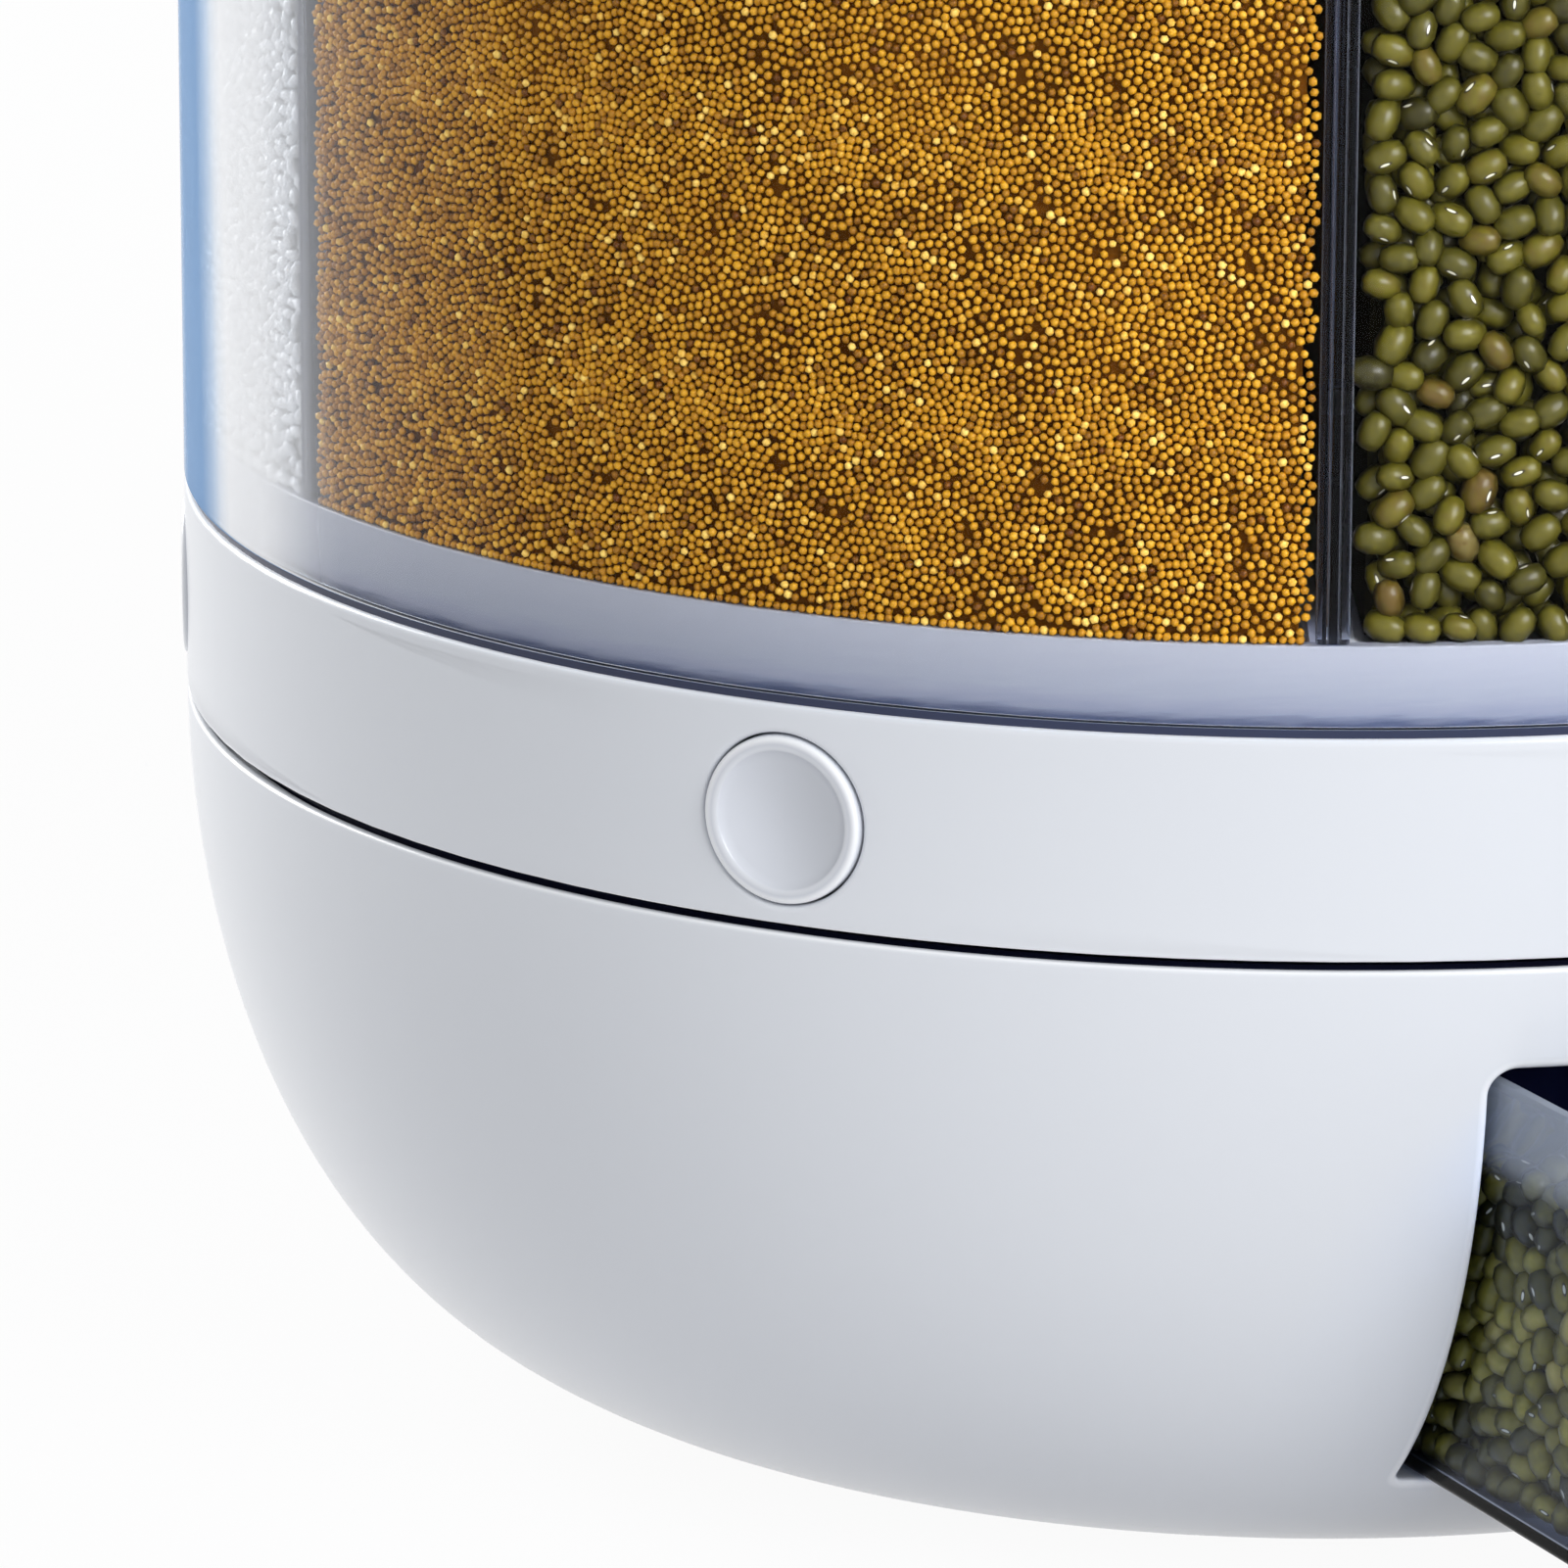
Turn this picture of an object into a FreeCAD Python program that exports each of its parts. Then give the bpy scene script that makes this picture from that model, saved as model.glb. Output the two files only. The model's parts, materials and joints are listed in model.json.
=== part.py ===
import FreeCAD, Part
import math
import os

# Rotating grain dispenser with six compartments. Lengths are millimetres, angles are degrees.
# +Z is up, the table is z = 0 and the drum turns about the Z axis. The cup comes out towards -Y.
# A bearing of 0 is the front, -Y, and bearings grow towards +X.

# Overall form
body_radius = 140.0
foot_drop = 2.0
bowl_height = 84.25
running_gap = 1.1
ring_height = 25.75
collar_height = 10.1
barrel_height = 170.0
lid_height = 31.0
compartments = 6

# Clearances
fit_gap = 0.3
slide_gap = 0.2
turning_gap = 0.05
screw_gap = 0.05

# Bowl, a superellipse from rim to foot
bowl_foot_share = 0.5936
bowl_side_power = 2.274
bowl_base_power = 1.978
bowl_side_steps = 8
bowl_inner_steps = 4
bowl_wall = 3.0
bowl_floor = 6.5
bowl_rim_bevel = 0.8
pilot_floor = 0.4
boss_radius = 5.0
boss_inset = 13.0
boss_depth = 26.0
boss_web = 3.0

# Bottom plate, feet and the centre pillar
plate_thickness = 2.4
plate_rim = 4.4
foot_radius = 7.0
foot_inset = 10.7
foot_seat = 1.2
foot_count = 4
foot_fit = 0.1
plate_rib_thickness = 2.5
plate_rib_height = 7.0
plate_rib_inset = 14.0
pillar_radius = 16.0
pillar_wall = 3.0
plate_screw_inset = 4.2

# Recess for the cup
recess_top_half = 52.8
recess_floor_half = 50.8
recess_floor_height = 16.7
recess_height = 55.5
recess_back = 48.0
recess_corner = 2.4
recess_floor_corner = 0.8
bay_wall = 2.0
bay_leg_radius = 5.0
bay_leg_inset = 2.0
bay_leg_spots = [(-31.6, 0.0), (0.0, 11.0), (31.6, 0.0)]

# Cup
cup_wall = 2.0
cup_side_gap = 1.3
cup_top_gap = 1.5
cup_front_reach = 24.0
cup_front_lean = 4.0
cup_back_gap = 1.6
cup_taper = 0.054
cup_taper_start = 128.0
cup_corner = 7.0
cup_bow_radius = 120.0
cup_bow_ahead = 6.32
cup_bow_behind = 9.48
cup_lip_reach = 9.0
cup_lip_thickness = 2.4
cup_lip_half = 30.0
cup_lip_round = 7.2
cup_lip_root = 10.0

# Deck, chute, glide ring and spindle
deck_thickness = 2.2
deck_rib_depth = 6.5
deck_rib_thickness = 2.5
chute_half_width = 24.0
chute_lead = 8.0
chute_wall = 1.6
chute_flange = 3.0
chute_flange_thickness = 1.2
chute_top_gap = 0.4
chute_cup_gap = 0.7
deck_drop = 0.05
glide_gap = 1.4
glide_width = 7.0
glide_height = 4.2
spindle_radius = 8.0
spindle_flange_radius = 21.0
spindle_flange_thickness = 3.0
spindle_fixing_circle = 14.5
spindle_fixings = 3
washer_radius = 12.5
washer_thickness = 1.5

# Ring and buttons
ring_wall = 2.6
ring_ledge_thickness = 2.0
ring_ledge_width = 16.0
ring_top_bevel = 1.2
ring_foot_bevel = 0.5
button_radius = 9.85
button_height_in_ring = 12.25
button_bearing = 3.91
button_proud = 0.35
button_dish = 0.9
button_rim_width = 0.9
button_rim_bevel = 0.45
button_wall = 1.8
button_travel = 9.5
button_groove = 0.25
sleeve_radius = 11.95
sleeve_length = 9.0
mouth_bevel = 0.75
button_flange_radius = 11.0
button_flange_thickness = 1.6
rod_radius = 2.4
rod_head_radius = 2.9
rod_head_length = 1.8
spring_radius = 4.6
spring_wire = 0.8
spring_sides = 8
spring_end_gap = 0.1

# Gates and the tray under them
gate_thickness = 1.6
gate_half_width = 17.0
gate_drop = 4.4
gate_inner_margin = 6.0
gate_outer_margin = 3.0
gate_neck_half = 6.0
gate_tab_inset = 28.0
gate_tab_thickness = 2.5
fork_gap = 0.1
fork_lip = 0.4
outlet_half_width = 13.0
outlet_run = 34.0
outlet_length = 8.5
tray_thickness = 2.4
tray_rim = 1.0
tray_bore_gap = 5.0
tray_frame_wall = 2.0
window_gap = 0.5
seat_slot_gap = 0.4
seat_thickness = 2.0
seat_half_width = 7.0
seat_tab_gap = 1.0
guide_thickness = 2.0
post_radius = 3.2
post_inset = 10.0

# Hopper floor
funnel_wall = 2.0
web_thickness = 5.0
collar_wall = 1.9
flange_thickness = 2.0
funnel_run = 40.0
spout_length = 3.0
cone_rise = 3.0
cone_margin = 1.0
hub_radius = 16.0
bush_wall = 2.95
bush_flange_radius = 13.5
bush_flange_thickness = 1.5
bush_length = 17.0
ring_screw_inset = 10.0
ring_boss_radius = 3.0

# Barrel, seal and divider
barrel_wall = 2.4
barrel_draft = 0.8
barrel_edge_bevel = 0.6
seal_height = 1.0
seal_inset = 0.7
divider_thickness = 2.0
divider_bead_width = 3.8
divider_bead_depth = 3.2
divider_bead_round = 0.9
divider_foot_gap = 0.2
divider_top_gap = 12.0
divider_hub_radius = 9.0
divider_hub_wall = 1.8

# Lid
lid_wall = 2.4
lid_shoulder = 15.0
lid_shoulder_steps = 4
lid_crown = 4.0
lid_skirt_depth = 8.0
lid_skirt_wall = 2.2
gasket_height = 3.0
gasket_core = 1.6
gasket_top_gap = 1.3
well_radius = 33.0
well_depth = 7.0
lid_bore = 24.0
liner_thickness = 2.0
liner_hook = 1.2
liner_rib_half = 1.0
liner_rib_height = 4.0
liner_rib_gap = 8.0
knob_side_gap = 0.8
knob_plate = 2.2
knob_bar_half_width = 5.0
knob_bar_height = 9.0
knob_bar_round = 3.0
knob_bar_inset = 1.1
lug_reach = 2.0
lug_thickness = 1.4
lug_angle = 24.0
lug_turn = 45.0
notch_gap = 0.6
notch_angle_gap = 4.0
box_wall = 1.6
box_depth = 30.0
box_slot_count = 8
box_slot_width = 2.0
box_slot_length = 12.0
box_slot_rise = 2.0

# Screws
fixing_count = 3
screw_sides = 6
screw_hole_gap = 0.2
small_screw_radius = 1.5
small_head_radius = 2.8
small_head_height = 1.2
head_recess = 1.3
large_screw_radius = 2.5
large_head_radius = 4.6
large_head_height = 2.6
screw_bite = 7.0
pivot_bite = 12.0

# Heights that follow from the sizes above
bowl_base_z = foot_drop
rim_z = bowl_base_z + bowl_height
ring_z = rim_z + running_gap
ledge_top_z = ring_z + ring_height
ledge_z = ledge_top_z - ring_ledge_thickness
collar_top_z = ledge_top_z + collar_height
recess_z = bowl_base_z + recess_floor_height
recess_top_z = recess_z + recess_height
deck_top_z = rim_z - deck_drop
deck_z = deck_top_z - deck_thickness
glide_top_z = deck_top_z + glide_height
tray_z = glide_top_z + slide_gap
tray_top_z = tray_z + tray_thickness
button_z = ring_z + button_height_in_ring
gate_mid_z = button_z - gate_drop
gate_z = gate_mid_z - gate_thickness / 2
gate_top_z = gate_mid_z + gate_thickness / 2
spout_z = gate_top_z + fit_gap
bush_top_z = spout_z + bush_length
spindle_top_z = bush_top_z + fit_gap
barrel_z = ledge_top_z + seal_height
barrel_top_z = ledge_top_z + barrel_height
lid_z = barrel_top_z + fit_gap
lid_top_z = lid_z + lid_height

# Radii that follow
bowl_foot_radius = body_radius * bowl_foot_share
plate_radius = bowl_foot_radius - plate_rim
foot_circle = plate_radius - foot_inset
bottom_opening_radius = foot_circle
plate_screw_circle = plate_radius - plate_screw_inset
bay_leg_circle = bottom_opening_radius - bay_leg_radius - bay_leg_inset
boss_circle = body_radius - boss_inset
ring_inner_radius = body_radius - ring_wall
ring_ledge_radius = body_radius - ring_ledge_width
ring_screw_circle = body_radius - ring_screw_inset
gate_tab_radius = body_radius - gate_tab_inset
outlet_inner_radius = gate_tab_radius - outlet_run
barrel_inner_radius = body_radius - barrel_wall
barrel_top_radius = body_radius - barrel_draft
collar_radius = barrel_inner_radius - fit_gap
floor_radius = collar_radius - collar_wall
outlet_outer_radius = outlet_inner_radius + outlet_length
mouth_inner_radius = outlet_inner_radius - funnel_run
post_circle = outlet_inner_radius - post_inset
chute_inner_radius = outlet_inner_radius - chute_lead
chute_outer_radius = outlet_outer_radius + button_travel
chute_rim = chute_wall + chute_flange
glide_inner_radius = math.hypot(chute_half_width + chute_rim, chute_outer_radius + chute_rim) + glide_gap
glide_outer_radius = glide_inner_radius + glide_width
sleeve_end_radius = body_radius - sleeve_length
flange_face_radius = sleeve_end_radius - slide_gap
rod_end_radius = gate_tab_radius - rod_head_length
seat_radius = gate_tab_radius + gate_tab_thickness + seat_tab_gap
tray_radius = seat_radius + seat_thickness + tray_rim
tray_bore = spindle_flange_radius + tray_bore_gap
bush_radius = spindle_radius + turning_gap + bush_wall
pitch = 360.0 / compartments
half_pitch = pitch / 2

origin = FreeCAD.Vector(0, 0, 0)
up = FreeCAD.Vector(0, 0, 1)


def at(x, y, z):
    return FreeCAD.Vector(x, y, z)


def on_bearing(radius, bearing, z):
    angle = math.radians(bearing)
    return at(radius * math.sin(angle), -radius * math.cos(angle), z)


def flat_face(corners):
    return Part.Face(Part.makePolygon(corners + corners[:1]))


def turned(shape, bearing):
    copy = shape.copy()
    copy.rotate(origin, up, bearing)
    return copy


def joined(shapes):
    return shapes[0].multiFuse(shapes[1:]).removeSplitter()


def disc(radius, low, high, x=0.0, y=0.0):
    return Part.makeCylinder(radius, high - low, at(x, y, low))


def tube(inner, outer, low, high):
    return disc(outer, low, high).cut(disc(inner, low - 1, high + 1))


def block(x_low, x_high, y_low, y_high, low, high):
    return Part.makeBox(x_high - x_low, y_high - y_low, high - low, at(x_low, y_low, low))


def lathe(profile):
    """A solid of revolution from a closed list of radius and height pairs."""
    corners = [at(radius, 0, z) for radius, z in profile]
    return flat_face(corners).revolve(origin, up, 360)


def lying_forward(shape, height):
    """Turns a shape that was built along +Z so that it points to the front at the given height."""
    copy = shape.copy()
    copy.rotate(origin, at(1, 0, 0), 90)
    copy.translate(at(0, 0, height))
    return copy


def rounded_face(corners, radii):
    """A flat face through the corners, each corner rounded by an arc of its own radius."""
    edges = []
    count = len(corners)
    starts = []
    ends = []
    for index in range(count):
        corner = corners[index]
        before = (corners[index - 1] - corner).normalize()
        after = (corners[(index + 1) % count] - corner).normalize()
        half = math.acos(max(-1.0, min(1.0, before.dot(after)))) / 2
        run = radii[index] / math.tan(half)
        reach = radii[index] / math.sin(half)
        middle = corner + (before + after).normalize() * (reach - radii[index])
        starts.append(corner + before * run)
        ends.append(corner + after * run)
        edges.append(Part.Arc(starts[-1], middle, ends[-1]).toShape())
    for index in range(count):
        edges.append(Part.LineSegment(ends[index], starts[(index + 1) % count]).toShape())
    return Part.Face(Part.Wire(Part.__sortEdges__(edges)))


def regular_prism(sides, radius, low, high):
    """An upright prism with a number of sides, its corners on the given radius."""
    corners = [on_bearing(radius, index * 360.0 / sides, low) for index in range(sides)]
    return flat_face(corners).extrude(at(0, 0, high - low))


def screw(radius, head_radius, head_height, length, head_up):
    """A hexagon-headed screw on the Z axis whose head sits on z = 0, with its shank through the joint."""
    head = regular_prism(screw_sides, head_radius, 0, head_height)
    body = joined([head, regular_prism(screw_sides, radius, -length, head_height / 2)])
    if not head_up:
        body.rotate(origin, at(1, 0, 0), 180)
    return body


def repeated(shape, count, first):
    """Copies of a shape turned evenly about the drum's axis, the first one by a given angle."""
    return [turned(shape, first + index * 360.0 / count) for index in range(count)]


def cut_all(shape, tools):
    for tool in tools:
        shape = shape.cut(tool)
    return shape


def hole_at(radius, low, high, place):
    """An upright cylinder round a place in the plan, to add or to cut."""
    return disc(radius, low, high, place.x, place.y)


def holes(radius, circle, low, high, count, first):
    """Upright holes spread evenly on a circle, the first one on a given bearing."""
    return repeated(disc(radius, low, high, 0, -circle), count, first)


def bowl_side(rim_radius, foot_radius, bottom, steps):
    """Radius and height pairs down the side of the bowl, along a superellipse quarter from rim to foot."""
    points = []
    for step in range(steps + 1):
        angle = math.radians(90.0 * step / steps)
        out = max(0.0, math.cos(angle)) ** (2 / bowl_side_power)
        down = math.sin(angle) ** (2 / bowl_base_power)
        points.append((foot_radius + (rim_radius - foot_radius) * out, rim_z - (rim_z - bottom) * down))
    return points


def bowl_solid(inset, bottom, steps):
    """The bowl as a full solid, drawn in by an inset from its outer face."""
    side = bowl_side(body_radius - inset, bowl_foot_radius - inset / 2, bottom, steps)
    return lathe(side + [(0, bottom), (0, rim_z)])


def recess_space(grow, front, back):
    """The room that the cup slides into, a drafted tunnel along Y."""
    corners = [
        at(-recess_floor_half - grow, 0, recess_z - grow),
        at(recess_floor_half + grow, 0, recess_z - grow),
        at(recess_top_half + grow, 0, recess_top_z + grow),
        at(-recess_top_half - grow, 0, recess_top_z + grow),
    ]
    radii = [recess_floor_corner + grow, recess_floor_corner + grow, recess_corner + grow, recess_corner + grow]
    face = rounded_face(corners, radii)
    face.translate(at(0, front, 0))
    return face.extrude(at(0, back - front, 0))


def make_bowl_shell():
    floor_z = bowl_base_z + bowl_floor
    bevel = bowl_rim_bevel
    rim_cut = lathe([(body_radius - bevel, rim_z), (body_radius + bevel, rim_z), (body_radius + bevel, rim_z - 2 * bevel)])
    shell = bowl_solid(0, bowl_base_z, bowl_side_steps).cut(rim_cut)
    shell = shell.cut(bowl_solid(bowl_wall, floor_z, bowl_inner_steps))
    shell = shell.cut(recess_space(0, -body_radius, -recess_back))
    low = deck_z - boss_depth
    boss = disc(boss_radius, low, deck_z, 0, -boss_circle)
    web = block(-boss_web / 2, boss_web / 2, -body_radius, -boss_circle, low, deck_z)
    post = joined([boss, web]).common(bowl_solid(bowl_wall / 2, floor_z, bowl_inner_steps))
    shell = joined([shell] + repeated(post, fixing_count, half_pitch))
    pilot = small_screw_radius + screw_gap
    shell = cut_all(shell, holes(pilot, boss_circle, deck_z - screw_bite - 1, rim_z, fixing_count, half_pitch))
    shell = shell.cut(disc(bottom_opening_radius, 0, floor_z + 1))
    shell = shell.cut(disc(plate_radius + fit_gap, 0, bowl_base_z + plate_thickness))
    depth = bowl_base_z + bowl_floor - pilot_floor
    return cut_all(shell, holes(pilot, plate_screw_circle, 0, depth, foot_count, 180.0 / foot_count))


def make_bottom_plate():
    top = bowl_base_z + plate_thickness
    plate = disc(plate_radius, bowl_base_z, top)
    inner = tube(pillar_radius - pillar_wall, pillar_radius, bowl_base_z, deck_z)
    half = plate_rib_thickness / 2
    rib = block(-half, half, -plate_radius + plate_rib_inset, -pillar_radius + 1, bowl_base_z, top + plate_rib_height)
    plate = joined([plate, inner] + [turned(rib, 180 + side * pitch) for side in (-1, 0, 1)])
    plate = cut_all(plate, [hole_at(small_screw_radius + screw_gap, 0, top + 1, place) for place in bay_leg_places()])
    plate = cut_all(plate, holes(foot_radius + foot_fit, foot_circle, 0, bowl_base_z + foot_seat, foot_count, 0))
    hole = small_screw_radius + screw_hole_gap
    return cut_all(plate, holes(hole, plate_screw_circle, 0, top + 1, foot_count, 180.0 / foot_count))


def make_rubber_feet():
    foot = disc(foot_radius, 0, foot_drop + foot_seat, 0, -foot_circle)
    return Part.makeCompound(repeated(foot, foot_count, 0))


def make_cup_bay():
    back = -recess_back
    outside = recess_space(bay_wall, -body_radius, back + bay_wall)
    bay = outside.common(bowl_solid(bowl_wall + fit_gap, bowl_base_z + bowl_floor, bowl_inner_steps))
    bay = bay.cut(recess_space(0, -body_radius, back))
    bay = bay.cut(chute_opening(recess_top_z, recess_top_z + bay_wall))
    top = bowl_base_z + plate_thickness
    legs = [hole_at(bay_leg_radius, top, recess_z - bay_wall / 2, place) for place in bay_leg_places()]
    bay = joined([bay] + legs)
    pilot = small_screw_radius + screw_gap
    return cut_all(bay, [hole_at(pilot, 0, top + screw_bite + 1, place) for place in bay_leg_places()])


def bay_leg_places():
    return [on_bearing(bay_leg_circle - inwards, bearing, 0) for bearing, inwards in bay_leg_spots]


def cup_half(distance, height_share):
    """Half the cup's outside width at a distance in front of the axis and a share of its height."""
    top = recess_top_half - cup_side_gap
    low = recess_floor_half - cup_side_gap
    return low + (top - low) * height_share + (distance - cup_taper_start) * cup_taper


def cup_section(inset, z, height_share):
    """The cup's plan outline at one height: straight tapering sides and a bowed front."""
    back = recess_back + cup_back_gap + inset
    front = body_radius + cup_front_reach + cup_front_lean * (height_share - 1) - inset
    side_front = front - cup_bow_behind
    back_half = cup_half(back, height_share) - inset
    front_half = cup_half(side_front, height_share) - inset
    corner = cup_corner - inset
    corners = [(-back_half, back), (back_half, back), (front_half, side_front),
               (0, front + cup_bow_ahead), (-front_half, side_front)]
    radii = [corner, corner, corner, cup_bow_radius - inset, corner]
    return rounded_face([at(x, -y, z) for x, y in corners], radii).OuterWire


def cup_form(inset, low, high, height):
    base = recess_z + fit_gap
    low_share = (low - base) / height
    high_share = (high - base) / height
    return Part.makeLoft([cup_section(inset, low, low_share), cup_section(inset, high, high_share)], True, True)


def make_measuring_cup():
    base = recess_z + fit_gap
    top = recess_top_z - cup_top_gap
    height = top - base
    cup = cup_form(0, base, top, height)
    front = body_radius + cup_front_reach
    shelf = block(-cup_lip_half, cup_lip_half, -front - cup_lip_reach, -front + cup_lip_root, top - cup_lip_thickness, top)
    upright = [edge for edge in shelf.Edges if edge.BoundBox.ZLength > cup_lip_thickness / 2 and edge.BoundBox.YMax < -front]
    shelf = shelf.makeFillet(cup_lip_round, upright)
    cup = joined([cup, shelf])
    return cup.cut(cup_form(cup_wall, base + cup_wall, top + 1, height))


def make_base_deck():
    plate = disc(body_radius - bowl_wall - fit_gap, deck_z, deck_top_z)
    rib_z = deck_z - deck_rib_depth
    half = deck_rib_thickness / 2
    hoop = tube(glide_inner_radius - deck_rib_thickness, glide_inner_radius, rib_z, deck_z)
    rib = block(-half, half, -glide_inner_radius + half, -pillar_radius - fit_gap, rib_z, deck_z)
    deck = joined([plate, hoop] + [turned(rib, index * pitch) for index in range(1, compartments)])
    deck = deck.cut(chute_opening(rib_z, deck_top_z))
    deck = deck.cut(disc(large_screw_radius + fit_gap, deck_z, deck_top_z))
    hole = small_screw_radius + screw_hole_gap
    deck = cut_all(deck, holes(hole, boss_circle, deck_z, deck_top_z, fixing_count, half_pitch))
    pilot = small_screw_radius + screw_gap
    return cut_all(deck, holes(pilot, spindle_fixing_circle, deck_z, deck_top_z, spindle_fixings, 0))


def chute_opening(low, high):
    """The hole that the chute passes through, with room round it."""
    gap = chute_wall + fit_gap
    half = chute_half_width + gap
    return block(-half, half, -chute_outer_radius - gap, -chute_inner_radius + gap, low, high)


def make_outlet_chute():
    """The duct from the deck's outlet to the cup, with a flange that lies on the deck."""
    top = tray_z - chute_top_gap
    bottom = recess_top_z - cup_top_gap + chute_cup_gap
    half = chute_half_width
    outer = block(-half - chute_wall, half + chute_wall, -chute_outer_radius - chute_wall,
                  -chute_inner_radius + chute_wall, bottom, top)
    flange = block(-half - chute_rim, half + chute_rim, -chute_outer_radius - chute_rim,
                   -chute_inner_radius + chute_rim, deck_top_z, deck_top_z + chute_flange_thickness)
    corners = [edge for edge in flange.Edges if edge.BoundBox.ZLength > chute_flange_thickness / 2]
    flange = flange.makeFillet(chute_flange, corners)
    inside = block(-half, half, -chute_outer_radius, -chute_inner_radius, bottom - 1, top + 1)
    return joined([outer, flange]).cut(inside)


def make_spindle():
    """The fixed post that the drum turns on, with a flange that screws to the deck."""
    flange_top = deck_top_z + spindle_flange_thickness
    bore = large_screw_radius + screw_gap
    bore_z = spindle_top_z - pivot_bite - 1
    spindle = lathe([
        (0, deck_top_z), (spindle_flange_radius, deck_top_z), (spindle_flange_radius, flange_top),
        (spindle_radius, flange_top), (spindle_radius, spindle_top_z), (bore, spindle_top_z), (bore, bore_z),
        (0, bore_z),
    ])
    hole = small_screw_radius + screw_hole_gap
    return cut_all(spindle, holes(hole, spindle_fixing_circle, deck_top_z, flange_top, spindle_fixings, 0))


def make_button_ring():
    inner = ring_inner_radius
    top = ring_top_bevel
    foot = ring_foot_bevel
    ring = lathe([
        (inner, ring_z), (body_radius - foot, ring_z), (body_radius, ring_z + foot),
        (body_radius, ledge_top_z - top), (body_radius - top, ledge_top_z),
        (ring_ledge_radius, ledge_top_z), (ring_ledge_radius, ledge_z), (inner, ledge_z),
    ])
    hole = button_radius + button_groove
    sleeve = disc(sleeve_radius, sleeve_end_radius, body_radius - ring_wall / 2)
    bore = disc(hole, sleeve_end_radius, body_radius)
    mouth = Part.makeCone(hole, hole + mouth_bevel * 2, mouth_bevel * 2, at(0, 0, body_radius - mouth_bevel))
    sleeves = repeated(lying_forward(sleeve, button_z), compartments, button_bearing)
    openings = repeated(lying_forward(joined([bore, mouth]), button_z), compartments, button_bearing)
    ring = cut_all(joined([ring] + sleeves), openings)
    fixing = small_screw_radius + screw_hole_gap
    return cut_all(ring, holes(fixing, ring_screw_circle, ledge_z, ledge_top_z, fixing_count, half_pitch))


def make_button():
    """A hollow dished cap with a stop flange and a rod that reaches the gate."""
    face = body_radius + button_proud
    back = flange_face_radius - button_flange_thickness
    rim = button_radius - button_rim_width
    bore = button_radius - button_wall
    dish_z = face - button_dish
    roof = dish_z - button_wall
    points = [
        (rim, face), (button_radius - button_rim_bevel, face), (button_radius, face - button_rim_bevel),
        (button_radius, flange_face_radius), (button_flange_radius, flange_face_radius),
        (button_flange_radius, back), (bore, back), (bore, roof), (rod_radius, roof),
        (rod_radius, gate_tab_radius), (rod_head_radius, gate_tab_radius), (rod_head_radius, rod_end_radius),
        (0, rod_end_radius), (0, dish_z), (rim / 2, dish_z + button_dish / 4),
    ]
    return lying_forward(lathe(points), button_z)


def make_button_spring():
    """The room of the return spring, between its seat on the tray and the inside of the button."""
    low = seat_radius + seat_thickness + spring_end_gap
    high = body_radius + button_proud - button_dish - button_wall - spring_end_gap
    outside = regular_prism(spring_sides, spring_radius, low, high)
    return lying_forward(outside.cut(regular_prism(spring_sides, spring_radius - spring_wire, low, high)), button_z)


def make_gate():
    """A flat shutter with a window, and a fork that the button's rod drops into."""
    window_inner = outlet_inner_radius + button_travel
    window_outer = outlet_outer_radius + button_travel
    inner = outlet_inner_radius - gate_inner_margin
    broad = window_outer + gate_outer_margin
    tab_end = gate_tab_radius + gate_tab_thickness
    half = gate_neck_half
    fork = rod_radius + fork_gap
    tab_top = button_z + rod_radius + fork_lip
    plate = block(-gate_half_width, gate_half_width, -broad, -inner, gate_z, gate_top_z)
    neck = block(-half, half, -tab_end, -broad, gate_z, gate_top_z)
    tab = block(-half, half, -tab_end, -gate_tab_radius, gate_z, tab_top)
    window = block(-outlet_half_width, outlet_half_width, -window_outer, -window_inner, gate_z, gate_top_z)
    slot = lying_forward(disc(fork, gate_tab_radius, tab_end), button_z)
    throat = block(-fork, fork, -tab_end, -gate_tab_radius, button_z, tab_top)
    return cut_all(joined([plate, neck, tab]), [window, slot, throat])


def make_gate_tray():
    """A plate with a framed window, two guides and a spring seat for each gate."""
    tray = tube(tray_bore, tray_radius, tray_z, tray_top_z)
    frame_top = gate_z - fit_gap
    wall = tray_frame_wall
    half = outlet_half_width + window_gap
    near = outlet_inner_radius - window_gap
    far = outlet_outer_radius + window_gap
    frame = block(-half - wall, half + wall, -far - wall, -near + wall, tray_z, frame_top)
    window = block(-half, half, -far, -near, tray_z, frame_top)
    guide_far = outlet_outer_radius + button_travel + gate_outer_margin
    guide_near = outlet_inner_radius - gate_inner_margin - button_travel / 2
    low = gate_half_width + slide_gap
    guide = block(low, low + guide_thickness, -guide_far, -guide_near, tray_z, gate_top_z + fit_gap)
    other = guide.mirror(origin, at(1, 0, 0))
    seat_end = seat_radius + seat_thickness
    slot_half = rod_radius + seat_slot_gap
    seat_top = button_z + spring_radius
    seat = block(-seat_half_width, seat_half_width, -seat_end, -seat_radius, tray_z, seat_top)
    seat = seat.cut(lying_forward(disc(slot_half, seat_radius, seat_end), button_z))
    seat = seat.cut(block(-slot_half, slot_half, -seat_end, -seat_radius, button_z, seat_top))
    adds = []
    for piece in (frame, guide, other, seat):
        adds += repeated(piece, compartments, button_bearing)
    tray = cut_all(joined([tray] + adds), repeated(window, compartments, button_bearing))
    hole = small_screw_radius + screw_hole_gap
    tray = cut_all(tray, holes(hole, post_circle, tray_z, tray_top_z, fixing_count, half_pitch))
    head_room = small_head_radius + fit_gap
    return cut_all(tray, holes(head_room, post_circle, tray_z, tray_z + head_recess, fixing_count, half_pitch))


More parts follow.
